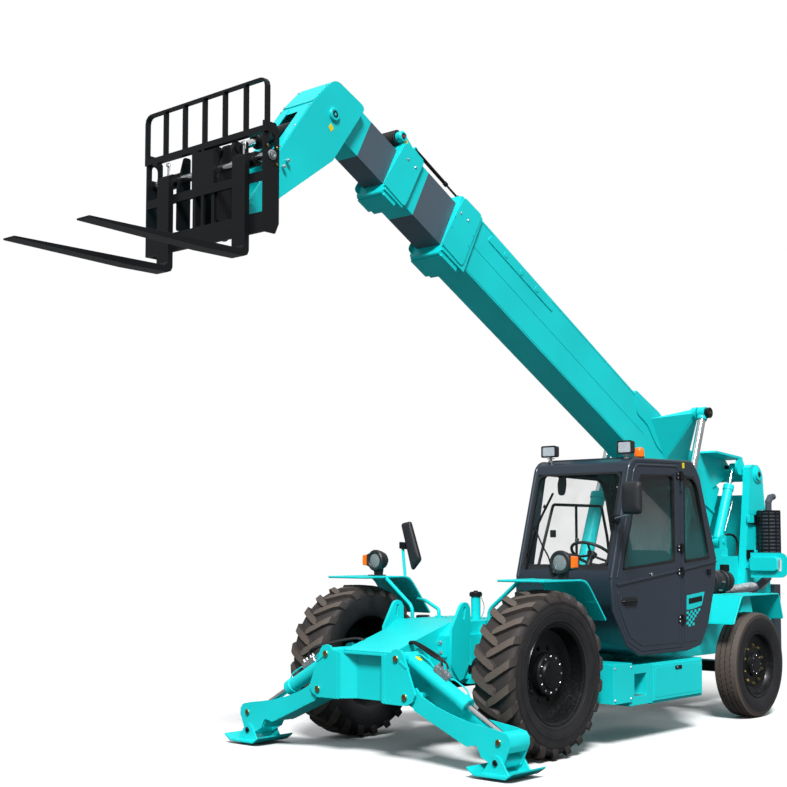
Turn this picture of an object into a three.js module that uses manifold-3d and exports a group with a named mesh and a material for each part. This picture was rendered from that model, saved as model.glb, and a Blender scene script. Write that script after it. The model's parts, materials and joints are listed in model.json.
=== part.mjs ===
// Telescopic handler with rear-wheel steering, front stabilisers and a fork carriage.
// Millimetres. Front faces -Y, the machine's left (cab) side is +X, +Z is up.
// The driving sizes are taken from the ground under the front axle. Every piece is
// shifted by -originY at the end, so the origin sits under the middle of the machine.
import * as THREE from 'three';
import { mergeVertices } from 'three/addons/utils/BufferGeometryUtils.js';
import Module from 'manifold-3d';

const wasm = await Module();
wasm.setup();

// ---------- driving sizes ----------
const originY = 617.5;
const gap = 0.3;              // seating clearance between pieces that rest on one another
const clear = 12;             // running clearance of moving pieces
const pinClear = 1;           // a hole's radius over that of the pin that turns in it

// wheels
const wheelbase = 3317;
const front = { r: 630, width: 372, track: 947, rim: 362, hubX: 700 };
const rear = { r: 484, width: 227, track: 968, rim: 294, hubX: 850 };
const kingpinX = 790;

// boom: positions run along the boom from the pivot, heights from the outer section's centre
const boomAngle = THREE.MathUtils.degToRad(27.85);
const pivot = { y: 4590, z: 2325 };
const pivotAbove = 510;
const outerBoom = { tail: 170, nose: 4990, halfW: 149, halfH: 254, drop: 0, wall: 8 };
const midBoom = { tail: 1100, nose: 5740, halfW: 126, halfH: 212, drop: 28, wall: 7 };
const innerBoom = { tail: 1600, nose: 6330, halfW: 102, halfH: 168, drop: 56, wall: 7 };
const outerCollar = { from: outerBoom.nose - 300, halfW: 174, halfH: 275, shoe: 42 };
const midCollar = { from: midBoom.nose - 230, halfW: 149, halfH: 234, shoe: 36 };
const liftEye = { x: 505, y: 3350, z: 2872 };
const liftBase = { x: 505, y: 2450, z: 550 };
const liftCylinder = { r: 70, bore: 56, rod: 38, barrel: 1673, rodLength: 1720, lug: 60 };
const compEye = { x: 250, y: 4425, z: 2403 };
const compBase = { x: 250, y: 4070, z: 1630 };
const compCylinder = { r: 50, bore: 36, rod: 22, barrel: 640, rodLength: 690, lug: 40 };

// boom head and carriage
const head = { halfW: 165, plate: 22 };
const headOutline = [
  [-1410, 5012], [-1086, 4869], [-1437, 4391], [-1736, 4177], [-1959, 4016],
  [-2215, 3800], [-2310, 3830], [-2318, 3905], [-2230, 3960], [-1966, 4351], [-1640, 4781],
];
const carriagePivot = { y: -2250, z: 3870, r: 34 };
const tiltBase = { y: -1430, z: 4735 };
const tiltEye = { y: -2300, z: 4300 };
const tiltCylinder = { r: 52, bore: 40, rod: 28, barrel: 690, rodLength: 640, lug: 42 };
const carriage = {
  halfW: 610, front: -2524.7, back: -2389, bottom: 3612, sideTop: 4340, midBar: 4298, top: 4628,
  lowBar: 3742, plate: 15,
};
const guardBars = { halfW: 628, pitch: 208, perSide: 2, wide: 16, deep: 38, corner: 60 };
const shaft = { y: -2455, z: 4125, r: 28 };
const fork = { left: 413, right: -366, halfW: 62, thick: 45, tip: -3765, under: 3462, shankFront: -2570 };

// stabilisers
const stab = {
  y: -815, upper: [359, 769], lower: [444, 496], foot: [1255, 112], rodPin: [1272, 250],
  legHalf: 115, plate: 14, pin: 24, rodEyePin: 20,
  barrel: 640, r: 55, bore: 38, rod: 25, rodLength: 600,
};

// cab
const cab = { inner: 185, outer: 1130, wall: 34, notchX: 420, notchZ: 975 };
const cabOutline = [
  [722, 1300], [735, 1080], [935, 787], [1130, 700], [1900, 697], [2130, 735],
  [2260, 900], [2390, 1250], [2420, 1453], [2130, 2200], [2010, 2315], [1080, 2300], [1010, 2250],
];
const doorSplit = 1800;

// ---------- materials ----------
function paint(color, roughness, metalness, extra = {}) {
  return { color, roughness, metalness, ...extra };
}
const teal = paint(0x12c8c8, 0.35, 0.1);
const charcoal = paint(0x343b47, 0.45, 0.1);
const slate = paint(0x2b3740, 0.45, 0.1);
const black = paint(0x17181a, 0.6, 0.2);
const chrome = paint(0xe6e8ea, 0.12, 1);
const steel = paint(0x9a9da0, 0.35, 0.9);
const tyre = paint(0x2a2825, 0.9, 0);
const glass = paint(0x5d7a74, 0.08, 0, { transparent: true, opacity: 0.4 });
const cloth = paint(0x1f2124, 0.85, 0);
const amber = paint(0xf08010, 0.25, 0);

// ---------- solids ----------
function toSolid(geometry) {
  geometry.deleteAttribute('normal');
  geometry.deleteAttribute('uv');
  const merged = mergeVertices(geometry, 1e-4);
  return new wasm.Manifold(new wasm.Mesh({
    numProp: 3,
    vertProperties: new Float32Array(merged.attributes.position.array),
    triVerts: new Uint32Array(merged.index.array),
  }));
}

function join(solids) {
  return solids.reduce((all, solid) => all.add(solid));
}

function cut(solid, tools) {
  return tools.reduce((left, tool) => left.subtract(tool), solid);
}

function block([x0, x1], [y0, y1], [z0, z1]) {
  const geometry = new THREE.BoxGeometry(x1 - x0, y1 - y0, z1 - z0);
  geometry.translate((x0 + x1) / 2, (y0 + y1) / 2, (z0 + z1) / 2);
  return toSolid(geometry);
}

function extrude(outline, depth, basis, offset) {
  const shape = new THREE.Shape(outline.map(([a, b]) => new THREE.Vector2(a, b)));
  const geometry = new THREE.ExtrudeGeometry(shape, { depth, bevelEnabled: false });
  geometry.applyMatrix4(basis);
  geometry.translate(...offset);
  return toSolid(geometry);
}

const alongX = new THREE.Matrix4().set(0, 0, 1, 0, 1, 0, 0, 0, 0, 1, 0, 0, 0, 0, 0, 1);
const alongY = new THREE.Matrix4().set(1, 0, 0, 0, 0, 0, -1, 0, 0, 1, 0, 0, 0, 0, 0, 1);
const alongZ = new THREE.Matrix4();

// outline in (y, z), standing from x0 to x1
function sidePlate(outline, x0, x1) {
  return extrude(outline, x1 - x0, alongX, [x0, 0, 0]);
}

// outline in (x, z), standing from y0 to y1
function crossPlate(outline, y0, y1) {
  return extrude(outline, y1 - y0, alongY, [0, y1, 0]);
}

// outline in (x, y), lying from z0 to z1
function flatPlate(outline, z0, z1) {
  return extrude(outline, z1 - z0, alongZ, [0, 0, z0]);
}

function rod(from, to, radius, sides = 14) {
  const a = new THREE.Vector3(...from);
  const b = new THREE.Vector3(...to);
  const geometry = new THREE.CylinderGeometry(radius, radius, a.distanceTo(b), sides);
  const turn = new THREE.Quaternion().setFromUnitVectors(
    new THREE.Vector3(0, 1, 0),
    b.clone().sub(a).normalize(),
  );
  geometry.applyQuaternion(turn);
  geometry.translate(...a.add(b).multiplyScalar(0.5).toArray());
  return toSolid(geometry);
}

function ball(centre, radius, sides = 8) {
  const geometry = new THREE.SphereGeometry(radius, sides, sides - 3);
  geometry.translate(...centre);
  return toSolid(geometry);
}

function pipe(points, radius, sides = 8) {
  const runs = points.slice(1).map((point, i) => rod(points[i], point, radius, sides));
  const bends = points.slice(1, -1).map((point) => ball(point, radius * 1.06));
  return join([...runs, ...bends]);
}

function pinX(x0, x1, { y, z }, radius, sides = 14) {
  return rod([x0, y, z], [x1, y, z], radius, sides);
}

function mirrored(solid) {
  return solid.mirror([1, 0, 0]);
}

function between(a, b, distance) {
  const from = new THREE.Vector3(...a);
  const to = new THREE.Vector3(...b);
  return from.add(to.sub(from).normalize().multiplyScalar(distance)).toArray();
}

const group = new THREE.Group();
group.name = 'telescopic_handler';

function addPiece(name, look, solid) {
  const mesh = solid.simplify(0.02).getMesh();
  const geometry = new THREE.BufferGeometry();
  geometry.setAttribute('position', new THREE.BufferAttribute(mesh.vertProperties.slice(), 3));
  geometry.setIndex(new THREE.BufferAttribute(mesh.triVerts.slice(), 1));
  geometry.translate(0, -originY, 0);
  const flat = geometry.toNonIndexed();
  flat.computeVertexNormals();
  const piece = new THREE.Mesh(flat, new THREE.MeshStandardMaterial(look));
  piece.name = name;
  group.add(piece);
}

function addPair(name, look, solid) {
  addPiece(`${name}_left`, look, solid);
  addPiece(`${name}_right`, look, mirrored(solid));
}

// ---------- boom coordinates ----------
function onBoom(along, above) {
  const up = above - pivotAbove;
  return [
    pivot.y - along * Math.cos(boomAngle) + up * Math.sin(boomAngle),
    pivot.z + along * Math.sin(boomAngle) + up * Math.cos(boomAngle),
  ];
}

function boomBlock(from, to, low, high, halfW) {
  const outline = [onBoom(from, low), onBoom(from, high), onBoom(to, high), onBoom(to, low)];
  return sidePlate(outline, -halfW, halfW);
}

function boomTube(size) {
  const { tail, nose, halfW, halfH, drop, wall } = size;
  const low = -drop - halfH;
  const high = -drop + halfH;
  const outside = boomBlock(tail, nose, low, high, halfW);
  const inside = boomBlock(tail - 50, nose + 50, low + wall, high - wall, halfW - wall);
  return outside.subtract(inside);
}

// a ring round a section: it slides on the section it holds
function boomRing(from, to, size, held) {
  const outside = boomBlock(from, to, -held.drop - size.halfH, -held.drop + size.halfH, size.halfW);
  const low = -held.drop - held.halfH - gap;
  const high = -held.drop + held.halfH + gap;
  const foot = -held.drop - size.halfH;
  const shoe = boomBlock(from + 70, to - 20, foot - size.shoe, foot + 1, size.halfW - 12);
  return outside.add(shoe).subtract(boomBlock(from - 50, to + 50, low, high, held.halfW + gap));
}

// slide pads at a section's tail, filling the room inside the section round it
function boomPads(held, holder) {
  const room = holder.wall + gap;
  const low = -holder.drop - holder.halfH + room;
  const high = -holder.drop + holder.halfH - room;
  const outside = boomBlock(held.tail, held.tail + 160, low, high, holder.halfW - room);
  const inLow = -held.drop - held.halfH + held.wall;
  const inHigh = -held.drop + held.halfH - held.wall;
  const inW = held.halfW - held.wall;
  return outside.subtract(boomBlock(held.tail - 50, held.tail + 250, inLow, inHigh, inW));
}

// ---------- wheels ----------
function lathe(profile, x, sides = 32) {
  const points = profile.map(([radius, height]) => new THREE.Vector2(radius, height));
  const geometry = new THREE.LatheGeometry(points, sides);
  geometry.rotateZ(-Math.PI / 2);
  geometry.translate(x[0], x[1], x[2]);
  return toSolid(geometry);
}

function tyreSolid(size, y) {
  const half = size.width / 2;
  const shoulder = size.r * 0.93;
  const profile = [
    [size.rim, -half * 0.72], [size.rim + 40, -half * 0.9], [shoulder - 60, -half],
    [shoulder, -half * 0.94], [size.r - 4, -half * 0.74], [size.r, -half * 0.3],
    [size.r, half * 0.3], [size.r - 4, half * 0.74], [shoulder, half * 0.94],
    [shoulder - 60, half], [size.rim + 40, half * 0.9], [size.rim, half * 0.72],
    [size.rim, -half * 0.72],
  ];
  return lathe(profile, [size.track, y, size.r]);
}

function rimSolid(size, y, dish, hub) {
  const half = size.width / 2;
  const seat = size.rim - gap;
  const inside = seat - 14;
  const disc = half - dish;
  const profile = [
    [0, disc - 30], [inside, disc - 30], [inside, -half * 0.72], [seat, -half * 0.72],
    [seat, half * 0.72], [inside, half * 0.72], [inside, disc], [hub.r, disc],
    [hub.r - 15, disc + hub.out], [0, disc + hub.out],
  ];
  return lathe(profile, [size.track, y, size.r]);
}

const frontHub = { r: 135, out: 70 };
const rearHub = { r: 90, out: 40 };
const frontDish = 150;
const rearDish = 60;
addPair('front_tyre', tyre, tyreSolid(front, 0));
addPair('front_rim', black, rimSolid(front, 0, frontDish, frontHub));
addPair('rear_tyre', tyre, tyreSolid(rear, wheelbase));
addPair('rear_rim', black, rimSolid(rear, wheelbase, rearDish, rearHub));

// ---------- axles ----------
const frontDiscX = front.track + front.width / 2 - frontDish - 30;
const rearDiscX = rear.track + rear.width / 2 - rearDish - 30;
const frontHubEnd = frontDiscX - gap;
const rearHubEnd = rearDiscX - gap;
const rail = { inner: 240, outer: 360, low: 520, high: 900, nose: -88, tail: 4700 };

const frontAxle = join([
  rod([-frontHubEnd, 0, front.r], [frontHubEnd, 0, front.r], 95, 24),
  rod([frontHubEnd - 130, 0, front.r], [frontHubEnd, 0, front.r], 150, 24),
  rod([-frontHubEnd + 130, 0, front.r], [-frontHubEnd, 0, front.r], 150, 24),
  ball([0, 0, front.r - 20], 190, 14),
]);

const rearAxle = join([
  block([-kingpinX + 90, kingpinX - 90], [wheelbase - 75, wheelbase + 75], [400, 500]),
  block([-230, 230], [wheelbase - 110, wheelbase + 110], [rear.r - 110, rail.low - gap]),
  block([kingpinX - 95, kingpinX + 45], [wheelbase - 60, wheelbase + 60], [560, 610]),
  block([kingpinX - 95, kingpinX + 45], [wheelbase - 60, wheelbase + 60], [355, 405]),
  block([kingpinX - 95, kingpinX - 62], [wheelbase - 60, wheelbase + 60], [355, 610]),
  block([-kingpinX - 45, -kingpinX + 95], [wheelbase - 60, wheelbase + 60], [560, 610]),
  block([-kingpinX - 45, -kingpinX + 95], [wheelbase - 60, wheelbase + 60], [355, 405]),
  block([-kingpinX + 62, -kingpinX + 95], [wheelbase - 60, wheelbase + 60], [355, 610]),
]);
const rearKnuckle = join([
  rod([kingpinX, wheelbase, 405 + gap], [kingpinX, wheelbase, 560 - gap], 48),
  rod([kingpinX, wheelbase, rear.r], [rearHubEnd, wheelbase, rear.r], 58),
  rod([rearHubEnd - 60, wheelbase, rear.r], [rearHubEnd, wheelbase, rear.r], 85),
]);

// ---------- chassis frame ----------
const towerBack = 4860;
const towerInner = 355;
const towerOuter = towerInner + 80;
const towerOutline = [
  [4430, 2200], [4440, 2395], [4500, 2425], [4620, 2425], [4720, 2330], [4745, 2120],
  [towerBack, 1500], [towerBack, rail.high - 150], [4180, rail.high - 150], [4300, 1300],
];
const towerWeb = sidePlate(towerOutline, towerInner, towerOuter);
const towerPin = pinX(towerInner - 10, towerOuter + 25, pivot, 62);

const frontBox = { halfW: 240, faceY: -957, panelY: -865, panelHalfW: 120, back: -330, low: 440, top: 780 };
const bracketOutline = [
  [225, 435], [455, 434], [517, 470], [536, 520], [423, 797], [400, 828], [360, 838], [318, 828],
  [303, 800], [225, 786],
];
const bracketFront = [stab.y - stab.legHalf - 30, stab.y - stab.legHalf - 10];
const bracketBack = [stab.y + stab.legHalf + 10, stab.y + stab.legHalf + 30];
function bracketPair() {
  const plates = [bracketFront, bracketBack].map(([y0, y1]) => crossPlate(bracketOutline, y0, y1));
  const pins = [stab.upper, stab.lower].map(([x, z]) => rod(
    [x, bracketFront[0] - 10, z],
    [x, bracketBack[1] + 10, z],
    stab.pin,
  ));
  return join([...plates, ...pins]);
}

// front shoulder of the frame, and the lifting eye plate that stands outside it
const shoulderX = 335;
const hoodTop = 1000;
const hoodBack = 520;
const shoulder = sidePlate(
  [[frontBox.back, 560], [frontBox.back, 905], [-190, hoodTop], [hoodBack, hoodTop], [hoodBack, 560]],
  rail.inner,
  shoulderX,
);
const eyePlateOutline = [
  [-323, 949], [-329, 691], [-300, 639], [-230, 553], [-182, 566], [-125, 657], [-91, 988],
  [-95, 1105], [-120, 1142], [-155, 1153], [-190, 1144], [-211, 1128],
];
const eyeSlot = { top: [-163, 1106], bottom: [-176, 1036], r: 14 };
const eyePlate = cut(sidePlate(eyePlateOutline, shoulderX - 1, rail.outer), [
  pinX(300, 400, { y: eyeSlot.top[0], z: eyeSlot.top[1] }, eyeSlot.r, 12),
  pinX(300, 400, { y: eyeSlot.bottom[0], z: eyeSlot.bottom[1] }, eyeSlot.r, 12),
  sidePlate([
    [eyeSlot.top[0] - eyeSlot.r, eyeSlot.top[1]], [eyeSlot.top[0] + eyeSlot.r, eyeSlot.top[1]],
    [eyeSlot.bottom[0] + eyeSlot.r, eyeSlot.bottom[1]], [eyeSlot.bottom[0] - eyeSlot.r, eyeSlot.bottom[1]],
  ], 300, 400),
]);
const tubeFoot = { x: 400, y: 90, top: 960 };

const liftLug = join([
  block([rail.outer - 20, 425], [liftBase.y - 130, liftBase.y + 90], [rail.low, 700]),
  block([rail.outer - 20, 605], [liftBase.y - 130, liftBase.y - 92], [rail.low, 660]),
  block([585, 610], [liftBase.y - 130, liftBase.y + 70], [480, 660]),
  pinX(415, 618, liftBase, 34),
]);

const sideRail = join([
  block([rail.inner, rail.outer], [rail.nose, rail.tail], [rail.low, rail.high]),
  towerWeb,
  towerPin,
  bracketPair(),
  shoulder,
  eyePlate,
  block([shoulderX - 5, tubeFoot.x + 30], [tubeFoot.y - 40, tubeFoot.y + 40], [780, tubeFoot.top]),
  liftLug,
  block([rail.inner + 10, 560], [1050, 1130], [560, 660]),
  block([rail.inner + 10, 560], [1950, 2030], [560, 660]),
]);
const cabRests = join([
  block([250, rail.outer], [980, 1060], [rail.high - 20, cab.notchZ - gap]),
  block([250, rail.outer], [2050, 2130], [rail.high - 20, cab.notchZ - gap]),
]);
const compLug = join([
  block([rail.inner, rail.outer], [4000, 4300], [rail.high - 100, 1480]),
  block([178, 330], [4000, 4140], [1430, 1560]),
  block([178, 194], [4010, 4130], [1430, 1690]),
  block([306, 322], [4010, 4130], [1430, 1690]),
  pinX(172, 332, compBase, 24),
]);
const hood = sidePlate(
  [[frontBox.panelY, frontBox.top], [frontBox.panelY, frontBox.low], [-700, frontBox.low], [-700, 560],
    [hoodBack, 560], [hoodBack, hoodTop], [-190, hoodTop], [-880, 800]],
  -rail.inner - 5,
  rail.inner + 5,
);
const { halfW: boxX, faceY, panelY, panelHalfW } = frontBox;
const boxFront = flatPlate([
  [-boxX, faceY], [-boxX + 30, faceY], [-panelHalfW, panelY], [panelHalfW, panelY], [boxX - 30, faceY],
  [boxX, faceY], [boxX, frontBox.back + 10], [-boxX, frontBox.back + 10],
], frontBox.low, frontBox.top);
const boxLid = block([-boxX, boxX], [faceY + 17, panelY - 5], [frontBox.top - 1, frontBox.top + 13]);
const filler = { x: 180, y: 200, r: 38, top: 1190 };
const chassis = join([
  sideRail,
  mirrored(sideRail),
  compLug,
  cabRests,
  hood,
  boxFront,
  boxLid,
  rod([filler.x, filler.y, hoodTop - 20], [filler.x, filler.y, filler.top], filler.r, 20),
  block([-rail.inner - 5, rail.inner + 5], [-120, 120], [front.r + 230, rail.high]),
  block([-rail.inner - 5, rail.inner + 5], [1500, 1650], [560, 860]),
  block([-rail.inner - 5, rail.inner + 5], [2350, 2550], [rail.low, 700]),
  block([-rail.inner - 5, rail.inner + 5], [wheelbase - 120, wheelbase + 120], [rail.low, 640]),
  block([-rail.inner - 5, rail.inner + 5], [4500, rail.tail], [rail.low, rail.high]),
]);
const frontAxleRoom = rod([-800, 0, front.r], [800, 0, front.r], 95 + gap, 24);
const frontDiffRoom = ball([0, 0, front.r - 20], 190 + gap, 14);
addPiece('chassis_frame', teal, cut(chassis, [frontAxleRoom, frontDiffRoom]));
addPiece('front_axle', black, frontAxle);
addPiece('rear_axle', black, rearAxle);
addPair('rear_knuckle', black, rearKnuckle);

// ---------- engine and counterweight ----------
addPiece('engine_block', black, block(
  [-rail.inner + 15, rail.inner - 15],
  [wheelbase + 163, 4380],
  [rail.low + 60, 1120],
));
addPiece('counterweight', charcoal, join([
  block([-480, 480], [towerBack + gap, 5000], [470, 1180]),
  block([-towerInner + gap, towerInner - gap], [rail.tail + gap, 4900], [470, 1120]),
]));

// ---------- step box, tool locker and tank ----------
const stepBox = { x0: rail.outer + gap, x1: 1130, y0: front.r + 105, y1: 1010, low: 345, high: 735 };
const locker = { x0: 640, x1: 1105, y0: 1320, y1: 2170, low: 300, high: 628 };
const stepHollow = [
  block([960, 1200], [1065, 1250], [380, 560]),
  block([locker.x0 + 40, 1200], [1370, 2120], [350, 590]),
];
addPiece('step_box', teal, cut(join([
  block([stepBox.x0, stepBox.x1], [stepBox.y0, stepBox.y1], [stepBox.low, stepBox.high - 80]),
  block([640, stepBox.x1 - 15], [stepBox.y1 - 20, locker.y0 + 20], [310, 628]),
  block([locker.x0, locker.x1], [locker.y0, locker.y1], [locker.low, locker.high]),
  block([stepBox.x0, locker.x0 + 20], [1360, 1440], [560, 620]),
  block([stepBox.x0, locker.x0 + 20], [2060, 2140], [560, 620]),
]), stepHollow));
addPiece('locker_door', teal, join([
  block([locker.x1 + gap, locker.x1 + 18], [1345, 2145], [325, 612]),
  block([locker.x1 - 30, locker.x1 + 10], [1375, 2115], [352, 358]),
]));
addPiece('side_tank', black, join([
  block([-1100, -640], [780, 2300], [340, 900]),
  block([-660, -rail.outer - gap], [900, 1000], [560, 700]),
  block([-660, -rail.outer - gap], [2100, 2200], [560, 700]),
  rod([-980, 900, 890], [-980, 900, 935], 55),
]));

// ---------- cab ----------
function inset(outline, distance) {
  const centre = [0, 1].map((i) => outline.reduce((sum, p) => sum + p[i], 0) / outline.length);
  return outline.map(([y, z]) => {
    const dy = y - centre[0];
    const dz = z - centre[1];
    const length = Math.hypot(dy, dz);
    const scale = (length - distance) / length;
    return [centre[0] + dy * scale, centre[1] + dz * scale];
  });
}
const cabInside = inset(cabOutline, cab.wall + 8);
const cabOuter = sidePlate(cabOutline, cab.inner, cab.outer);
const notch = block([0, cab.notchX], [0, 3000], [0, cab.notchZ]);
const notchWall = block([0, cab.notchX + 25], [0, 3000], [0, cab.notchZ + 25]);
const cabRoom = sidePlate(cabInside, cab.inner + cab.wall, cab.outer - cab.wall);
const cabShellFull = cabOuter.subtract(notch).subtract(cabRoom.subtract(notchWall));
const doorOutline = [
  [770, 1295], [775, 1100], [955, 822], [1150, 738], [doorSplit - 6, 735],
  [doorSplit - 6, 2283], [1095, 2266], [1045, 2215],
];
const doorHole = sidePlate(inset(doorOutline, -4), cab.outer - cab.wall - 20, cab.outer + 20);
const quarterOutline = [[1860, 1445], [2290, 1478], [2105, 2090], [2030, 2180], [1860, 2190]];
const rightOutline = [[900, 1250], [2290, 1400], [2110, 2080], [2020, 2190], [1130, 2200]];
const doorWindow = [[880, 1395], [1700, 1455], [1700, 2190], [1180, 2170], [1105, 2090]];
const quarterHole = sidePlate(quarterOutline, cab.outer - 100, cab.outer + 20);
const rightHole = sidePlate(rightOutline, cab.inner - 20, cab.inner + 100);
const frontSlope = (cabOutline.at(-1)[0] - cabOutline[0][0]) / (cabOutline.at(-1)[1] - cabOutline[0][1]);
function cabFrontAt(z) {
  return cabOutline[0][0] + (z - cabOutline[0][1]) * frontSlope;
}
const screen = {
  x0: 240, x1: 1070, low: [cabFrontAt(1420), 1420], high: [cabFrontAt(2190), 2190], inset: 8, thick: 6,
};
const rearPane = { x0: 270, x1: 1045, low: [2400, 1500], high: [2150, 2130] };
function paneHole({ x0, x1, low, high }, reach) {
  const outline = [
    [low[0] - reach, low[1]], [high[0] - reach, high[1]],
    [high[0] + reach, high[1]], [low[0] + reach, low[1]],
  ];
  return sidePlate(outline, x0, x1);
}
const doorHinge = { x: cab.outer + 12, y: doorSplit + 3, r: 11, heights: [930, 1330, 2050] };
function hingeHalf(low, high, y0, y1) {
  const { x, y, r, heights } = doorHinge;
  return join(heights.flatMap((z) => [
    rod([x, y, z + low], [x, y, z + high], r, 12),
    block([cab.outer - 8, x - 2], [y + y0, y + y1], [z + low, z + high]),
  ]));
}
const cabFloor = block([430, cab.outer - cab.wall - 5], [1060, 2100], [738, 760]);
addPiece('cab_shell', charcoal, join([cut(cabShellFull, [
  doorHole, quarterHole, rightHole, paneHole(screen, 130), paneHole(rearPane, 130),
]), cabFloor, hingeHalf(40 + gap, 80, 4, 30)]));
const paneFront = [screen.low[0] + screen.inset, screen.high[0] + screen.inset];
addPiece('cab_windscreen', glass, sidePlate([
  [paneFront[0], screen.low[1] + gap], [paneFront[1], screen.high[1] - gap],
  [paneFront[1] + screen.thick, screen.high[1] - gap], [paneFront[0] + screen.thick, screen.low[1] + gap],
], screen.x0 + gap, screen.x1 - gap));
addPiece('cab_rear_window', glass, sidePlate([
  [2386, 1500.4], [2142, 2129.6], [2134, 2129.6], [2378, 1500.4],
], rearPane.x0 + gap, rearPane.x1 - gap));
addPiece('cab_quarter_window', glass, sidePlate(inset(quarterOutline, 0.4), cab.outer - 20, cab.outer - 14));
addPiece('cab_right_window', glass, sidePlate(inset(rightOutline, 0.4), cab.inner + 14, cab.inner + 20));
addPiece('cab_door', charcoal, join([cut(sidePlate(doorOutline, cab.outer - cab.wall, cab.outer), [
  sidePlate(doorWindow, cab.outer - 100, cab.outer + 20),
]), hingeHalf(0, 40, -30, -8)]));
addPiece('cab_door_window', glass, sidePlate(inset(doorWindow, 0.4), cab.outer - 20, cab.outer - 14));

const seatY = 1780;
addPiece('seat', cloth, join([
  block([430, 900], [seatY - 300, seatY + 220], [1130, 1240]),
  block([440, 890], [seatY + 130, seatY + 250], [1200, 1545]),
  block([520, 810], [seatY - 180, seatY + 160], [760 + gap, 1150]),
]));
addPiece('dashboard', black, join([
  block([260, 900], [850, 1010], [cab.notchZ + 25 + gap, 1300]),
  pipe([[665, 960, 1230], [665, 1150, 1520]], 26),
  rod([665, 1142, 1506], [665, 1160, 1534], 190),
]));

// ---------- fenders ----------
const frontFender = { inner: 680, outer: 1123, front: -170, top: 1331, back: 620, thick: 8 };
const fenderOutline = [
  [-170, 1331], [380, 1331], [650, 1010], [642, 1003], [376, 1323], [-170, 1323],
];
const frontFenderSolid = join([
  sidePlate(fenderOutline, frontFender.inner, frontFender.outer),
  sidePlate([[-170, 1331], [380, 1331], [650, 1010], [560, 1010], [340, 1260], [-170, 1260]],
    frontFender.inner, frontFender.inner + 8),
  pipe([[tubeFoot.x, tubeFoot.y, tubeFoot.top + gap], [tubeFoot.x, tubeFoot.y, 1085],
    [frontFender.inner + 15, tubeFoot.y, 1318]], 14),
  pipe([[290, 300, hoodTop + gap], [290, 300, 1060], [470, 340, 1130], [frontFender.inner + 5, 500, 1130]], 14),
  rod([961, 235, 1300], [961, 235, 1400], 30),
  rod([961, 225, 1464], [961, 320, 1464], 80),
  block([930, 990], [215, 300], [1390, 1420]),
]);
addPair('front_fender', teal, frontFenderSolid);
const rearTop = 1135;
const rearFenderSolid = join([
  sidePlate([[-577, 880], [-567, 905], [-417, rearTop], [323, rearTop], [403, 900], [395, 895],
    [317, rearTop - 8], [-413, rearTop - 8], [-559, 900], [-569, 878]]
    .map(([y, z]) => [wheelbase + y, z]), 820, 1120),
  block([rail.outer + gap, 830], [wheelbase - 137, wheelbase - 77], [1090, rearTop - 4]),
  block([rail.outer + gap, 830], [wheelbase + 113, wheelbase + 173], [1090, rearTop - 4]),
  block(
    [rail.outer + gap, rail.outer + 30],
    [wheelbase - 137, wheelbase + 173],
    [rail.high - 80, rearTop - 4],
  ),
]);
addPair('rear_fender', teal, rearFenderSolid);

// ---------- exhaust and air cleaner ----------
const exhaust = { x: 556, y: 4600, low: 1500, high: 1950, r: 112 };
addPiece('muffler', black, join([
  rod([exhaust.x, exhaust.y, exhaust.low], [exhaust.x, exhaust.y, exhaust.high], exhaust.r, 24),
  pipe([
    [exhaust.x, exhaust.y, exhaust.high - 20], [exhaust.x, exhaust.y, 2040],
    [exhaust.x, exhaust.y + 45, 2085], [exhaust.x, exhaust.y + 110, 2095],
  ], 34),
  pipe([
    [exhaust.x, exhaust.y, exhaust.low + 20], [exhaust.x, exhaust.y - 40, 1260],
    [exhaust.x - 50, exhaust.y - 240, 1150], [480, 3950, 1090],
    [rail.inner - 15 + gap, 3950, 1090],
  ], 38),
  block([towerOuter + gap, exhaust.x], [exhaust.y - 60, exhaust.y + 20], [1560, 1590]),
  block([towerOuter + gap, exhaust.x], [exhaust.y - 60, exhaust.y + 20], [1850, 1880]),
]));
const cleanerY = 3190;
addPiece('air_cleaner', black, join([
  rod([620, cleanerY + 20, 1246], [620, cleanerY + 440, 1246], 105, 24),
  rod([620, cleanerY, 1246], [620, cleanerY + 30, 1246], 112, 24),
  rod([620, cleanerY + 210, 1300], [620, cleanerY + 210, 1420], 45),
  block([rail.outer + gap, 640], [wheelbase + 113, wheelbase + 173], [rearTop - 4 + gap, 1150]),
]));

// ---------- mirrors and beacon ----------
addPiece('mirror_left', black, join([
  rod([cab.outer + gap, 884, 1780], [cab.outer + 20, 884, 1780], 16),
  pipe([[cab.outer + 14, 884, 1780], [cab.outer + 70, 700, 1790], [cab.outer + 290, 470, 1800],
    [cab.outer + 290, 470, 2090]], 11),
  block([cab.outer + 210, cab.outer + 370], [440, 462], [1820, 2075]),
]));
addPiece('mirror_right', black, join([
  rod([-745, 370, frontFender.top + gap], [-745, 370, 1770], 15),
  block([-760, -505], [335, 365], [1385, 1790]),
]));
const [roofBack, roofFront] = cabOutline.slice(-3, -1);
const beacon = { x: 831, y: 1640, baseR: 40, r: 45, height: 118 };
const roofRise = (roofBack[1] - roofFront[1]) / (roofBack[0] - roofFront[0]);
const beaconSeat = roofFront[1] + (beacon.y + beacon.baseR - roofFront[0]) * roofRise + gap;
addPiece('beacon', amber, join([
  rod([beacon.x, beacon.y, beaconSeat + 28], [beacon.x, beacon.y, beaconSeat + beacon.height], beacon.r),
  rod([beacon.x, beacon.y, beaconSeat], [beacon.x, beacon.y, beaconSeat + 40], beacon.baseR),
]));

// ---------- boom ----------
const [wingFrontY, wingFrontZ] = onBoom(1680, 170);
const [wingBackY, wingBackZ] = onBoom(860, 160);
const [wingMidY, wingMidZ] = onBoom(1250, -60);

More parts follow.
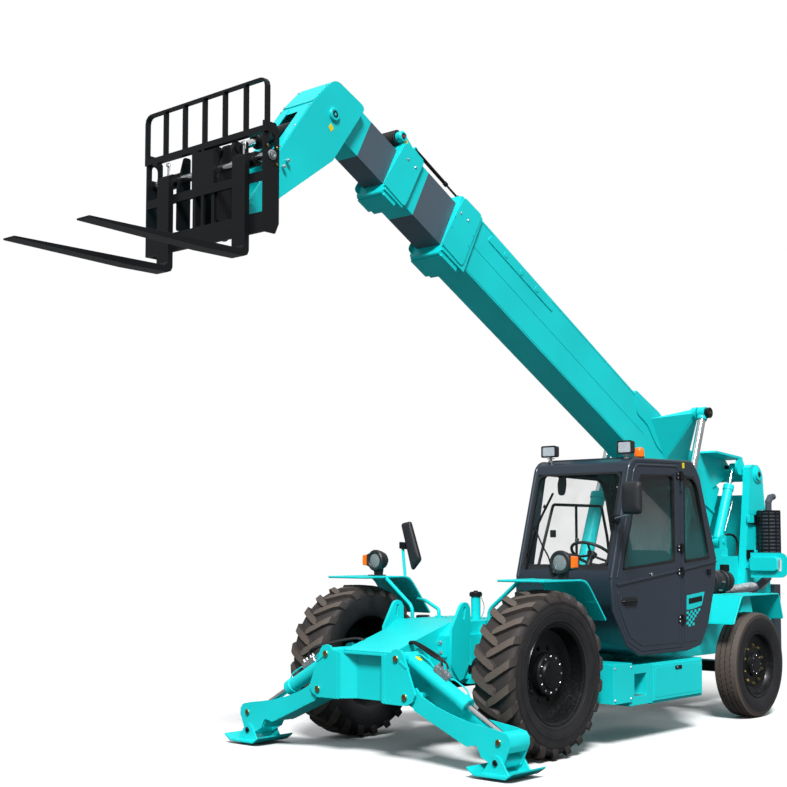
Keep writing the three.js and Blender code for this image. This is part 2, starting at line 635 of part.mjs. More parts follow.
function hullOf(points) {
  return wasm.Manifold.hull(points);
}
const boomWall = outerBoom.halfW - outerBoom.wall + 1;
const wingBody = hullOf([
  [boomWall, wingFrontY, wingFrontZ], [boomWall, wingBackY, wingBackZ],
  [boomWall, wingMidY, wingMidZ], [boomWall, ...onBoom(1250, 255)],
  [430, liftEye.y - 50, liftEye.z], [430, liftEye.y + 50, liftEye.z],
  [430, liftEye.y, liftEye.z + 50], [430, liftEye.y, liftEye.z - 50],
]);
const wingEnd = 450;
const wingBoss = pinX(400, wingEnd, liftEye, 62);
const saddleOutline = [
  onBoom(1000, 240), [3900, 2530], [4420, 2488], [4505, 2420], [4640, 2400], [4660, 2280],
  [4560, 2245], [4430, 2290], [4150, 2180], onBoom(170, -40), onBoom(500, -60),
];
const ear = { r: 85, x0: 315, x1: 340 };
const saddleFace = 165;
const saddle = join([
  sidePlate(saddleOutline, boomWall, saddleFace),
  pinX(150, towerInner - clear, pivot, 70),
  pinX(ear.x0, ear.x1, compEye, ear.r),
  sidePlate([[3900, 2545], [4420, 2510], [4470, 2500], [4478, 2480], [4400, 2486], [3890, 2525]],
    boomWall, ear.x1),
]);
const boomSides = join([wingBody, wingBoss, saddle]);
const outerSolid = join([
  boomTube(outerBoom),
  boomRing(outerCollar.from, outerBoom.nose, outerCollar, midBoom),
  boomSides,
  mirrored(boomSides),
  pinX(-160, 160, pivot, 70),
]);
const midSolid = join([
  boomTube(midBoom),
  boomPads(midBoom, outerBoom),
  boomRing(midCollar.from, midBoom.nose, midCollar, innerBoom),
]);

const headSolid = sidePlate(headOutline, -head.halfW, head.halfW);
const headRoom = sidePlate(
  [[-1330, 4935], [-1300, 4600], [-1440, 4440], [-1740, 4225], [-1930, 4085], [-1950, 3700],
    [-2500, 3700], [-2500, 4200], [-1990, 4480], [-1690, 4716], [-1435, 4965]],
  -head.halfW + head.plate,
  head.halfW - head.plate,
);
const headPins = join([
  pinX(-head.halfW - 18, head.halfW + 18, tiltBase, 30),
  pinX(-head.halfW - 18, head.halfW + 18, carriagePivot, carriagePivot.r),
]);
const innerTube = cut(boomTube(innerBoom), [headRoom]);
const innerSolid = join([
  cut(join([innerTube, cut(headSolid, [headRoom])]), [
    boomBlock(
      innerBoom.tail - 50,
      innerBoom.nose - 140,
      -innerBoom.drop - innerBoom.halfH + innerBoom.wall,
      -innerBoom.drop + innerBoom.halfH - innerBoom.wall,
      innerBoom.halfW - innerBoom.wall,
    ),
  ]),
  boomPads(innerBoom, midBoom),
  headPins,
]);
addPiece('boom_outer', teal, outerSolid);
addPiece('boom_mid', slate, midSolid);
addPiece('boom_inner', slate, innerSolid);

// ---------- cylinders ----------
function barrelSolid(base, eye, size, x) {
  const from = [x, base.y, base.z];
  const to = [x, eye.y, eye.z];
  const body = rod(between(from, to, 20), between(from, to, size.barrel), size.r, 24);
  const bore = rod(between(from, to, size.lug + 22), between(from, to, size.barrel + 5), size.bore, 24);
  const lug = pinX(x - size.lug * 0.6, x + size.lug * 0.6, base, size.lug);
  const hole = pinX(x - 200, x + 200, base, size.pin + pinClear);
  return cut(join([body, lug]), [bore, hole]);
}

// the eye's pin belongs to the rod and ends just short of the faces on both sides of it
function rodSolid(base, eye, size, x, pinSpan) {
  const from = [x, base.y, base.z];
  const to = [x, eye.y, eye.z];
  const inner = between(to, from, size.rodLength);
  return join([
    rod(inner, between(to, from, size.lug * 0.5), size.rod, 24),
    rod(inner, between(inner, to, 60), size.bore - gap, 24),
    pinX(x - size.lug * 0.6, x + size.lug * 0.6, eye, size.lug),
    pinX(...pinSpan, eye, size.eyePin),
  ]);
}
const liftSize = { ...liftCylinder, pin: 34, eyePin: 32 };
const compSize = { ...compCylinder, pin: 24, eyePin: 24 };
const tiltSize = { ...tiltCylinder, pin: 30, eyePin: 28 };
const tiltLug = { inner: 82, outer: 112 };
addPair('lift_barrel', teal, barrelSolid(liftBase, liftEye, liftSize, liftBase.x));
addPair('lift_rod', chrome, join([
  rodSolid(liftBase, liftEye, liftSize, liftBase.x, [wingEnd + gap, 585]),
  pinX(560, 585, liftEye, 52),
]));
addPiece('slave_barrel', teal, barrelSolid(compBase, compEye, compSize, compBase.x));
addPiece('slave_rod', chrome, rodSolid(
  compBase,
  compEye,
  compSize,
  compBase.x,
  [saddleFace + gap, ear.x0 - gap],
));
addPiece('tilt_barrel', black, barrelSolid(tiltBase, tiltEye, tiltSize, 0));
addPiece('tilt_rod', chrome, rodSolid(tiltBase, tiltEye, tiltSize, 0, [-tiltLug.inner + gap, tiltLug.inner - gap]));

// ---------- fork carriage ----------
const barY = [carriage.front, carriage.front + guardBars.deep];
const frontY = [carriage.front, carriage.front + 22];
const faceX = carriage.halfW - carriage.plate;
const lugOutline = [
  [-2205, 3835], [-2215, 3925], [-2250, 3945], [-2262, 4340], [-2330, 4352], [-2370, 4250],
  [carriage.front + 10, 4250], [carriage.front + 10, 3640], [-2400, 3640],
];
const carriageLug = join([
  sidePlate(lugOutline, tiltLug.inner, tiltLug.outer),
  pinX(tiltLug.outer - 1, tiltLug.outer + 10, tiltEye, 34),
]);
const cradle = join([
  carriageLug,
  mirrored(carriageLug),
  block([-faceX - 1, faceX + 1], frontY, [carriage.bottom, carriage.lowBar]),
  block([-faceX - 1, faceX + 1], frontY, [3950, 4010]),
  block([-tiltLug.outer, tiltLug.outer], frontY, [3950, 4250]),
  block([-14, 14], frontY, [carriage.lowBar - 10, 4280]),
  block([-carriage.halfW, carriage.halfW], barY, [carriage.midBar - 32, carriage.midBar + 10]),
  pinX(-carriage.halfW - 12, carriage.halfW + 12, shaft, shaft.r),
]);
const sidePlateOutline = [
  [carriage.front, carriage.sideTop], [carriage.front, carriage.bottom], [-2420, carriage.bottom],
  [carriage.back, 3680], [carriage.back, 4290], [-2420, carriage.sideTop],
];
const sideSlot = { y: shaft.y, low: 4165, high: 4240, r: 30 };
const carriageSide = cut(sidePlate(sidePlateOutline, faceX, carriage.halfW), [
  pinX(500, 700, { y: sideSlot.y, z: sideSlot.high }, sideSlot.r, 12),
  block([500, 700], [sideSlot.y - sideSlot.r, sideSlot.y + sideSlot.r], [sideSlot.low, sideSlot.high]),
]);
const barHalf = guardBars.wide / 2;
const inBars = Array.from(
  { length: 2 * guardBars.perSide + 1 },
  (_, i) => (i - guardBars.perSide) * guardBars.pitch,
);
const guardTop = carriage.top;
const guardCorner = guardBars.halfW - guardBars.corner;
function guardArc(radius) {
  return [0, 30, 60, 90].map((degrees) => {
    const angle = THREE.MathUtils.degToRad(degrees);
    return [
      guardCorner + radius * Math.sin(angle),
      guardTop - guardBars.corner + radius * Math.cos(angle),
    ];
  });
}
const guardCornerPiece = crossPlate(
  [...guardArc(guardBars.corner), ...guardArc(guardBars.corner - guardBars.wide).reverse()],
  ...barY,
);
const guardSide = block(
  [guardBars.halfW - guardBars.wide, guardBars.halfW],
  barY,
  [carriage.midBar - 32, guardTop - guardBars.corner + 1],
);
const guard = join([
  ...inBars.map((x) => block([x - barHalf, x + barHalf], barY, [carriage.midBar - 10, guardTop - 8])),
  block([-guardCorner - 1, guardCorner + 1], barY, [guardTop - guardBars.wide, guardTop]),
  guardCornerPiece,
  mirrored(guardCornerPiece),
  guardSide,
  mirrored(guardSide),
]);
const pivotHole = pinX(-300, 300, carriagePivot, carriagePivot.r + pinClear);
addPiece('carriage', black, cut(join([cradle, carriageSide, mirrored(carriageSide), guard]), [
  pivotHole,
]));

const shankBack = fork.shankFront + fork.thick;
const forkSide = [
  [shankBack, 4150], [shankBack, fork.under + 40], [shankBack - 12, fork.under + 12],
  [shankBack - 40, fork.under], [fork.shankFront - 320, fork.under],
  [fork.tip, fork.under + fork.thick - 12], [fork.tip, fork.under + fork.thick],
  [fork.shankFront - 25, fork.under + fork.thick], [fork.shankFront, fork.under + fork.thick + 25],
  [fork.shankFront, 4130],
];
function forkSolid(x) {
  const span = [x - fork.halfW, x + fork.halfW];
  return cut(join([
    sidePlate(forkSide, ...span),
    pinX(...span, shaft, shaft.r + 22),
    block(span, [shankBack - 10, shaft.y], [4100, 4150]),
  ]), [pinX(x - 200, x + 200, shaft, shaft.r + pinClear)]);
}
addPiece('fork_left', black, forkSolid(fork.left));
addPiece('fork_right', black, forkSolid(fork.right));

// ---------- stabilisers ----------
function pinY(x, z, y0, y1, radius, sides = 14) {
  return rod([x, y0, z], [x, y1, z], radius, sides);
}
const { legHalf, plate: legWall } = stab;
const [lowX, lowZ] = stab.lower;
const [footX, footZ] = stab.foot;
const [rodX, rodZ] = stab.rodPin;
const legPlate = [
  [404, 456], [389, 496], [404, 540], [444, 556], [520, 568], [580, 507], [690, 455], [822, 410],
  [1010, 363], [1238, 333], [1335, 312], [1362, 280], [1366, 228], [1335, 160], [1300, 80], [1255, 62],
  [1205, 90], [1115, 138], [1083, 200], [1069, 210], [1040, 207], [990, 194], [470, 430],
];
const legEnd = [[1290, 322], [1335, 312], [1362, 280], [1366, 228], [1345, 180], [1333, 185], [1351, 230],
  [1347, 275], [1327, 299], [1290, 308]];
const legFloor = [[500, 404], [500, 420], [980, 212], [974, 199]];
const inSide = [stab.y - legHalf + 1, stab.y + legHalf - 1];
const legSolid = cut(join([
  crossPlate(legPlate, stab.y - legHalf, stab.y - legHalf + legWall),
  crossPlate(legPlate, stab.y + legHalf - legWall, stab.y + legHalf),
  crossPlate(legFloor, ...inSide),
  crossPlate(legEnd, ...inSide),
  pinY(rodX, rodZ, stab.y - legHalf - 10, stab.y - legHalf + 1, stab.rodEyePin),
  pinY(rodX, rodZ, stab.y + legHalf - 1, stab.y + legHalf + 10, stab.rodEyePin),
  pinY(footX, footZ, ...inSide, 44),
  pinY(footX, footZ, stab.y - legHalf - 24, stab.y + legHalf + 24, 20),
]), [pinY(lowX, lowZ, stab.y - 200, stab.y + 200, stab.pin + pinClear)]);
addPair('stabiliser_leg', teal, legSolid);

const upperPoint = [stab.upper[0], stab.y, stab.upper[1]];
const rodPoint = [rodX, stab.y, rodZ];
addPair('stabiliser_barrel', teal, cut(join([
  rod(between(upperPoint, rodPoint, 15), between(upperPoint, rodPoint, stab.barrel), stab.r, 24),
  pinY(stab.upper[0], stab.upper[1], stab.y - legHalf + 5, stab.y + legHalf - 5, 42),
]), [
  rod(between(upperPoint, rodPoint, 62), between(upperPoint, rodPoint, 700), stab.bore, 24),
  pinY(stab.upper[0], stab.upper[1], stab.y - 200, stab.y + 200, stab.pin + pinClear),
]));
const stabInner = between(rodPoint, upperPoint, stab.rodLength);
const eyeReach = legHalf - legWall - gap;
addPair('stabiliser_rod', chrome, join([
  rod(stabInner, between(rodPoint, upperPoint, 20), stab.rod, 24),
  rod(stabInner, between(stabInner, rodPoint, 40), stab.bore - gap, 24),
  pinY(rodX, rodZ, stab.y - 38, stab.y + 38, 36),
  pinY(rodX, rodZ, stab.y - eyeReach, stab.y + eyeReach, stab.rodEyePin),
]));
const pad = { halfX: 200, flatX: 135, y: -830, halfY: 190, low: 20, thick: 14, lift: 42 };
const padSection = [
  [footX - pad.flatX, pad.low], [footX + pad.flatX, pad.low], [footX + pad.halfX, pad.low + pad.lift],
  [footX + pad.halfX, pad.low + pad.lift + pad.thick], [footX + pad.flatX - 4, pad.low + pad.thick],
  [footX - pad.flatX + 4, pad.low + pad.thick], [footX - pad.halfX, pad.low + pad.lift + pad.thick],
  [footX - pad.halfX, pad.low + pad.lift],
];
const padEar = [
  [footX - 118, pad.low + 8], [footX - 40, footZ + 36], [footX, footZ + 50], [footX + 34, footZ + 40],
  [footX + 118, pad.low + 8],
];
const earFace = legHalf + 3;
addPair('stabiliser_pad', teal, cut(join([
  crossPlate(padSection, pad.y - pad.halfY, pad.y + pad.halfY),
  crossPlate(padEar, stab.y - earFace - legWall, stab.y - earFace),
  crossPlate(padEar, stab.y + earFace, stab.y + earFace + legWall),
]), [pinY(footX, footZ, stab.y - 200, stab.y + 200, 20 + pinClear)]));

export default group;
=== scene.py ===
import json
import math

import bmesh
import bpy
import numpy as np
from mathutils import Matrix, Vector

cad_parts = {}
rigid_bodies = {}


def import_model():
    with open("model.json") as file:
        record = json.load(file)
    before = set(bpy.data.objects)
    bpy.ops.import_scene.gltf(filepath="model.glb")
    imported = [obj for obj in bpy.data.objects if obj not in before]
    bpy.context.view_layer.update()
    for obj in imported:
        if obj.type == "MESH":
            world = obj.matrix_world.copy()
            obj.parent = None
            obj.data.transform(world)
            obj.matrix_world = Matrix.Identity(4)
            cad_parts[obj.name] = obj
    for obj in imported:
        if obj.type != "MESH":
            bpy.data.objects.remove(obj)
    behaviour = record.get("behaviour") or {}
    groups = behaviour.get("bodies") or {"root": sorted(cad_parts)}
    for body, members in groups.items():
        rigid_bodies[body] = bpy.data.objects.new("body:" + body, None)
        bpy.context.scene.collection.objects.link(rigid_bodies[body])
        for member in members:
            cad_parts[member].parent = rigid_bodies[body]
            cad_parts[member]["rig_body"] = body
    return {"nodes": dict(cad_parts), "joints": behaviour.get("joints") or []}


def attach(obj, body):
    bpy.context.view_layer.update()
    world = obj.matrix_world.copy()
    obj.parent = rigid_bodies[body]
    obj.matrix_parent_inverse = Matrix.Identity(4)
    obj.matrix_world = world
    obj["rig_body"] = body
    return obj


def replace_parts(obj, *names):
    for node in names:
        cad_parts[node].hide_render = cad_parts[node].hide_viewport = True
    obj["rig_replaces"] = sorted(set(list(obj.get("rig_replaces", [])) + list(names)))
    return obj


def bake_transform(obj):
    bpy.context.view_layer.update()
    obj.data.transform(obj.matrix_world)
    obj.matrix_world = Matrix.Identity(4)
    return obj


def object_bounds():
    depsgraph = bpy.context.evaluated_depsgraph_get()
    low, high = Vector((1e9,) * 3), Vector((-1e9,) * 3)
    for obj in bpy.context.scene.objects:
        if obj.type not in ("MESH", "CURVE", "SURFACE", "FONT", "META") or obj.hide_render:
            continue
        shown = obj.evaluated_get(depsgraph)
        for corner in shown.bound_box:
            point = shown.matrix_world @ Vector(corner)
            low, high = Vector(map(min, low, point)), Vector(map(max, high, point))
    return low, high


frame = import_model()
cad_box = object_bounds()
joints = {joint["name"]: joint for joint in frame["joints"]}
MM = 0.001
X, Y, Z = Vector((1, 0, 0)), Vector((0, 1, 0)), Vector((0, 0, 1))
SIDES = (("left", 1), ("right", -1))

# ---------- places taken from the frame ----------
AXLE_Y = joints["front_wheel_spin_left"]["pos_m"][1]
BOOM_PIVOT = Vector(joints["boom_lift"]["pos_m"])
BOOM_WAY = Vector(joints["mid_slide"]["axis"]).normalized()
BOOM_UP = X.cross(BOOM_WAY).normalized() * -1
PIVOT_ABOVE = 510 * MM     # the pivot stands this far over the boom's centre line


def at(x, y, z):
    """A point in millimetres from the ground under the front axle."""
    return Vector((x * MM, y * MM + AXLE_Y, z * MM))


def on_boom(x, along, above):
    """A point in millimetres along the boom from its pivot, and over its centre line."""
    return (
        BOOM_PIVOT
        + Vector((x * MM, 0, 0))
        + BOOM_WAY * (along * MM)
        + BOOM_UP * (above * MM - PIVOT_ABOVE)
    )


# ---------- materials ----------
def tone(code, share=1.0):
    """Linear colour of a hex code, made lighter or darker by a share."""
    parts = [int(code[i:i + 2], 16) / 255 for i in (0, 2, 4)]
    linear = [p / 12.92 if p < 0.04 else ((p + 0.055) / 1.055) ** 2.4 for p in parts]
    return (*[min(1.0, p * share) for p in linear], 1.0)


class Value:
    """One output in a node tree. Sums on it add Math nodes."""

    def __init__(self, net, socket):
        self.net = net
        self.socket = socket

    def math(self, operation, first, second):
        return self.net.node("ShaderNodeMath", {"operation": operation}, {0: first, 1: second})

    def __add__(self, other):
        return self.math("ADD", self, other)

    def __radd__(self, other):
        return self.math("ADD", other, self)

    def __sub__(self, other):
        return self.math("SUBTRACT", self, other)

    def __rsub__(self, other):
        return self.math("SUBTRACT", other, self)

    def __mul__(self, other):
        return self.math("MULTIPLY", self, other)

    def __rmul__(self, other):
        return self.math("MULTIPLY", other, self)


class Net:
    """A node tree and the one way of adding nodes to it."""

    def put(self, socket, value):
        if isinstance(value, Value):
            self.tree.links.new(value.socket, socket)
        else:
            socket.default_value = value

    def node(self, kind, settings=None, inputs=None, out=0):
        made = self.tree.nodes.new(kind)
        for key, value in (settings or {}).items():
            setattr(made, key, value)
        for key, value in (inputs or {}).items():
            self.put(made.inputs[key], value)
        return Value(self, made.outputs[out])


class Finish(Net):
    """A material and the short ways of adding nodes to it."""

    def __init__(self, name):
        self.material = bpy.data.materials.new(name)
        self.material.use_nodes = True
        self.tree = self.material.node_tree
        self.shader = self.tree.nodes["Principled BSDF"]

    def place(self):
        return self.node("ShaderNodeTexCoord", out=3)

    def height(self):
        return self.node("ShaderNodeSeparateXYZ", inputs={0: self.place()}, out=2)

    def noise(self, scale, detail=2.0, place=None):
        return self.node("ShaderNodeTexNoise", inputs={
            "Vector": place or self.place(), "Scale": scale, "Detail": detail,
        })

    def span(self, value, low, high, start=0.0, end=1.0):
        return self.node("ShaderNodeMapRange", {"interpolation_type": "SMOOTHSTEP"}, {
            "Value": value, "From Min": low, "From Max": high, "To Min": start, "To Max": end,
        })

    def mix(self, first, second, share):
        return self.node("ShaderNodeMix", {"data_type": "RGBA"}, {0: share, 6: first, 7: second}, 2)

    def mark(self, name):
        return self.node("ShaderNodeAttribute", {"attribute_name": name}, out=2)

    def bump(self, height, strength, distance):
        return self.node("ShaderNodeBump", inputs={
            "Strength": strength, "Distance": distance, "Height": height,
        })

    def shade(self, **sockets):
        for name, value in sockets.items():
            self.put(self.shader.inputs[name.replace("_", " ")], value)
        return self.material


def paint(name, code, roughness, coat=0.0, shine=0.3, dust="8f8a80", dust_share=0.1):
    """Sprayed paint: broad tone, fine orange peel and a little dust low down."""
    finish = Finish(name)
    broad = finish.span(finish.noise(1.1, 3.0), 0.3, 0.7)
    speck = finish.noise(70.0, 3.0)
    base = finish.mix(tone(code, 0.93), tone(code, 1.06), broad)
    low = finish.span(finish.height(), 0.05, 0.9, 1.0, 0.0)
    dusty = low * finish.span(speck, 0.45, 0.75) * dust_share
    return finish.shade(
        Base_Color=finish.mix(base, tone(dust), dusty),
        Roughness=finish.span(speck, 0.3, 0.7, roughness - 0.04, roughness + 0.06),
        Coat_Weight=coat,
        Coat_Roughness=0.12,
        Specular_IOR_Level=shine,
        Normal=finish.bump(finish.noise(420.0, 2.0), 0.12, 0.0006),
    )


def bare_metal(name, code, roughness, streak=300.0):
    """Bright metal with fine turning marks."""
    finish = Finish(name)
    fine = finish.noise(streak, 3.0)
    broad = finish.span(finish.noise(9.0, 2.0), 0.35, 0.7)
    return finish.shade(
        Base_Color=finish.mix(tone(code, 0.88), tone(code, 1.05), broad),
        Metallic=1.0,
        Roughness=finish.span(fine, 0.3, 0.7, roughness * 0.8, roughness * 1.3),
        Normal=finish.bump(fine, 0.05, 0.0004),
    )


def plastic(name, code, roughness, grain=500.0, depth=0.25, variety=0.1):
    """Moulded plastic or rubber with a fine grain."""
    finish = Finish(name)
    fine = finish.noise(grain, 2.0)
    broad = finish.span(finish.noise(6.0, 3.0), 0.3, 0.7)
    return finish.shade(
        Base_Color=finish.mix(tone(code, 1 - variety), tone(code, 1 + variety), broad),
        Roughness=finish.span(broad, 0.0, 1.0, roughness - 0.05, roughness + 0.07),
        Normal=finish.bump(fine, depth, 0.0005),
    )


def tyre_rubber(name, side="17171a", worn="5d534c"):
    """Black sidewalls; the faces that carry the mark 'worn' are brown with road dust."""
    finish = Finish(name)
    fine = finish.noise(160.0, 4.0)
    broad = finish.span(finish.noise(7.0, 4.0), 0.3, 0.72)
    black = finish.mix(tone(side, 0.8), tone(side, 1.35), broad)
    brown = finish.mix(tone(worn, 0.78), tone(worn, 1.12), finish.span(fine, 0.35, 0.68))
    return finish.shade(
        Base_Color=finish.mix(black, brown, finish.mark("worn")),
        Roughness=finish.span(broad, 0.0, 1.0, 0.62, 0.8),
        Normal=finish.bump(fine, 0.22, 0.0012),
    )


def lamp_glass(name, code, roughness, alpha, glow=0.0):
    """Moulded lens with small ripples."""
    finish = Finish(name)
    ripple = finish.node("ShaderNodeTexVoronoi", inputs={"Vector": finish.place(), "Scale": 120.0})
    return finish.shade(
        Base_Color=finish.mix(tone(code, 0.8), tone(code, 1.15), finish.span(ripple, 0.1, 0.6)),
        Roughness=finish.span(ripple, 0.0, 0.7, roughness, roughness + 0.08),
        Alpha=alpha,
        Emission_Color=tone(code),
        Emission_Strength=glow,
        Coat_Weight=0.6,
        Normal=finish.bump(ripple, 0.2, 0.0008),
    )


def window_glass(name, code, alpha, high):
    """Safety glass with a faint film of dust, in one colour low down and another high up."""
    finish = Finish(name)
    film = finish.span(finish.noise(4.0, 4.0), 0.35, 0.8)
    return finish.shade(
        Base_Color=finish.mix(tone(code), tone(high), finish.span(finish.height(), 1.5, 2.0)),
        Roughness=finish.span(film, 0.0, 1.0, 0.02, 0.05),
        Alpha=finish.span(film, 0.0, 1.0, alpha, alpha + 0.04),
        Coat_Weight=0.5,
    )


def cloth_finish(name, code):
    """Woven seat cloth: two crossed wave patterns and a soft sheen."""
    finish = Finish(name)
    weave = [
        finish.node("ShaderNodeTexWave", {"bands_direction": way}, {
            "Vector": finish.place(), "Scale": 160.0, "Distortion": 1.5,
        }, 1)
        for way in ("X", "Z")
    ]
    cross = weave[0] * weave[1]
    return finish.shade(
        Base_Color=finish.mix(tone(code, 0.7), tone(code, 1.5), cross),
        Roughness=0.9,
        Sheen_Weight=0.3,
        Normal=finish.bump(cross, 0.4, 0.0012),
    )


def heat_blanket(name, code):
    """Crumpled foil wrap of the exhaust's flexible pipe."""
    finish = Finish(name)
    folds = finish.node("ShaderNodeTexVoronoi", inputs={"Vector": finish.place(), "Scale": 45.0})
    return finish.shade(
        Base_Color=finish.mix(tone(code, 0.6), tone(code, 1.1), finish.span(folds, 0.1, 0.6)),
        Metallic=0.7,
        Roughness=finish.span(folds, 0.0, 0.7, 0.25, 0.5),
        Normal=finish.bump(folds, 0.9, 0.006),
    )


MAT = {
    "teal": paint("teal_gloss_paint", "10d2d4", 0.36, 0.08, 0.2),
    "charcoal": paint("cab_charcoal_paint", "2a3440", 0.34, 0.35, 0.35),
    "slate": paint("section_slate_paint", "4a5a66", 0.4, 0.2, 0.35),
    "black": paint("black_satin_paint", "131518", 0.4, 0.1, 0.2),
    "rim": paint("rim_black_paint", "0b0d0f", 0.35, 0.12, 0.2),
    "iron": paint("cast_iron_paint", "191b1e", 0.6),
    "chrome": bare_metal("hard_chrome", "eef0f2", 0.1),
    "steel": bare_metal("zinc_steel", "d2d6da", 0.36),
    "brass": bare_metal("yellow_zinc", "9a8a5a", 0.42),
    "tyre": tyre_rubber("tyre_rubber"),
    "rubber": plastic("hose_rubber", "17181a", 0.55, 300.0, 0.4),
    "plastic": plastic("moulded_black_plastic", "202226", 0.5),
    "liner": plastic("cab_liner_plastic", "3f4650", 0.7),
    "amber": lamp_glass("amber_lens", "f0700c", 0.15, 1.0, 0.12),
    # the red lens glows a little (glow 0.05): painted glow, as it serves only the hose drum's mark, which is no lamp
    "red": lamp_glass("red_lens", "c01810", 0.15, 1.0, 0.05),
    "clear": lamp_glass("clear_lens", "e6eef0", 0.06, 0.25),
    "lamp": lamp_glass("work_lamp_lens", "b4bcc2", 0.2, 1.0),
    "mirror": bare_metal("lamp_reflector", "f4f6f7", 0.06, 60.0),
    "sticker": paint("yellow_sticker", "f4dc16", 0.4),
    "glass": window_glass("tinted_window_glass", "15585a", 0.74, "0b1c1c"),
    "screen": window_glass("clear_window_glass", "3c504e", 0.05, "3c504e"),
    "cloth": cloth_finish("seat_cloth", "24262b"),
    "foil": heat_blanket("foil_wrap", "c9ccce"),
}

SLOTS = {
    "teal": "teal_paint", "charcoal": "charcoal_paint", "slate": "slate_paint", "black": "black_paint",
    "rim": "rim_black", "iron": "cast_iron", "chrome": "chrome", "steel": "chrome", "brass": "chrome",
    "mirror": "chrome", "foil": "chrome", "tyre": "tyre", "rubber": "black_plastic", "plastic": "black_plastic",
    "liner": "black_plastic", "amber": "amber_plastic", "red": "amber_plastic", "sticker": "amber_plastic",
    "clear": "glass", "lamp": "glass", "cloth": "seat_cloth",
}


# ---------- shapes ----------
class Shape:
    """Vertices and faces that are gathered before they become one piece."""

    def __init__(self):
        self.points = []
        self.faces = []
        self.marks = []

    def add(self, points, faces, marks=None):
        base = len(self.points)
        self.points.extend(Vector(p) for p in points)
        self.faces.extend([base + i for i in face] for face in faces)
        self.marks.extend(marks or [0.0] * len(faces))
        return self

    def join(self, other):
        return self.add(other.points, other.faces, list(other.marks))

    def moved(self, change):
        copy = Shape()
        flip = change.determinant() < 0
        faces = [face[::-1] if flip else face for face in self.faces]
        return copy.add([change @ p for p in self.points], faces, list(self.marks))

    def mirrored(self):
        return self.moved(Matrix.Diagonal((-1, 1, 1, 1)))

    def with_mirror(self):
        return Shape().join(self).join(self.mirrored())

    def skin(self, count, rings, loop=False, caps=True):
        """Faces between rings of count points each, with flat ends or with the last ring joined to the first."""
        for ring in range(rings if loop else rings - 1):
            after = (ring + 1) % rings * count
            for j in range(count):
                k = (j + 1) % count
                self.faces.append([ring * count + j, ring * count + k, after + k, after + j])
        if caps and not loop:
            self.faces += [list(range(count))[::-1], [(rings - 1) * count + j for j in range(count)]]
        self.marks = [0.0] * len(self.faces)
        return self

    def mesh(self, name):
        made = bpy.data.meshes.new(name)
        made.from_pydata([tuple(p) for p in self.points], [], self.faces)
        worn = made.attributes.new("worn", "FLOAT", "FACE")
        worn.data.foreach_set("value", np.array(self.marks, np.float32))
        return made


def basis(way, up=(0, 0, 1)):
    """Turns local Z to the way, local X as near to 'up' as it can be."""
    z = Vector(way).normalized()
    x = Vector(up) - z * z.dot(Vector(up))
    if x.length < 1e-4:
        x = Vector((1, 0, 0)) - z * z.x
    x.normalize()
    y = z.cross(x)
    return Matrix((x, y, z)).transposed()


def lathe(profile, start, way, steps=48):
    """Turned body: profile of (radius, distance) in millimetres from start along way."""
    shape = Shape()
    turn = basis(way)
    start = Vector(start)
    rings = []
    for radius, distance in profile:
        if radius == 0:
            rings.append([len(shape.points)])
            shape.points.append(start + turn @ Vector((0, 0, distance * MM)))
            continue
        rings.append(list(range(len(shape.points), len(shape.points) + steps)))
        for i in range(steps):
            angle = 2 * math.pi * i / steps
            spot = Vector((radius * math.cos(angle), radius * math.sin(angle), distance)) * MM
            shape.points.append(start + turn @ spot)
    for low, high in zip(rings, rings[1:]):
        for i in range(steps):
            j = (i + 1) % steps
            if len(low) == 1 and len(high) == 1:
                break
            if len(low) == 1:
                face = [low[0], high[j], high[i]]
            elif len(high) == 1:
                face = [low[i], low[j], high[0]]
            else:
                face = [low[i], low[j], high[j], high[i]]
            shape.faces.append(face)
            shape.marks.append(0.0)
    return shape


def both_ways(profile, spot, steps):
    """The same turned body twice, from one spot to the left and to the right."""
    return lathe(profile, spot, X, steps).join(lathe(profile, spot, -X, steps))


def disc(start, way, radius, thick, bevel=1.5):
    """Flat round boss or washer with softened rims, seated at start."""
    profile = [(0, 0), (radius, 0), (radius, thick - bevel), (radius - bevel, thick), (0, thick)]
    return lathe(profile, start, way, 24)


def smooth_path(points, per_span=6):
    """Curve through the points, with bends rounded."""
    spots = [Vector(p) for p in points]
    ends = [spots[0] * 2 - spots[1], *spots, spots[-1] * 2 - spots[-2]]
    path = []
    for i in range(1, len(ends) - 2):
        a, b, c, d = ends[i - 1:i + 3]
        for step in range(per_span):
            t = step / per_span
            path.append(0.5 * (2 * b + (c - a) * t + (2 * a - 5 * b + 4 * c - d) * t * t
                               + (3 * b - a - 3 * c + d) * t ** 3))
    return [*path, spots[-1]]


def bent_path(points, bend, steps=5):
    """Straight runs joined by round bends of one radius, in metres."""
    spots = [Vector(p) for p in points]
    path = [spots[0]]
    for before, corner, after in zip(spots, spots[1:], spots[2:]):
        back, on = (before - corner), (after - corner)
        reach = min(bend, back.length * 0.45, on.length * 0.45)
        a, b = corner + back.normalized() * reach, corner + on.normalized() * reach
        for step in range(steps + 1):
            t = step / steps
            path.append(a.lerp(corner, t).lerp(corner.lerp(b, t), t))
    return [*path, spots[-1]]


def sweep(path, outline, caps=True):
    """Carries a closed outline of (across, up) metres along a path."""
    shape = Shape()
    turn = basis(path[1] - path[0])
    across = turn.col[0].copy()
    for i, spot in enumerate(path):
        way = (path[min(i + 1, len(path) - 1)] - path[max(i - 1, 0)]).normalized()
        across = (across - way * way.dot(across)).normalized()
        side = way.cross(across)
        shape.points.extend(spot + across * a + side * b for a, b in outline)
    return shape.skin(len(outline), len(path), caps=caps)


def ring_outline(radius, sides=12):
    turns = [2 * math.pi * i / sides for i in range(sides)]
    return [(radius * MM * math.cos(turn), radius * MM * math.sin(turn)) for turn in turns]


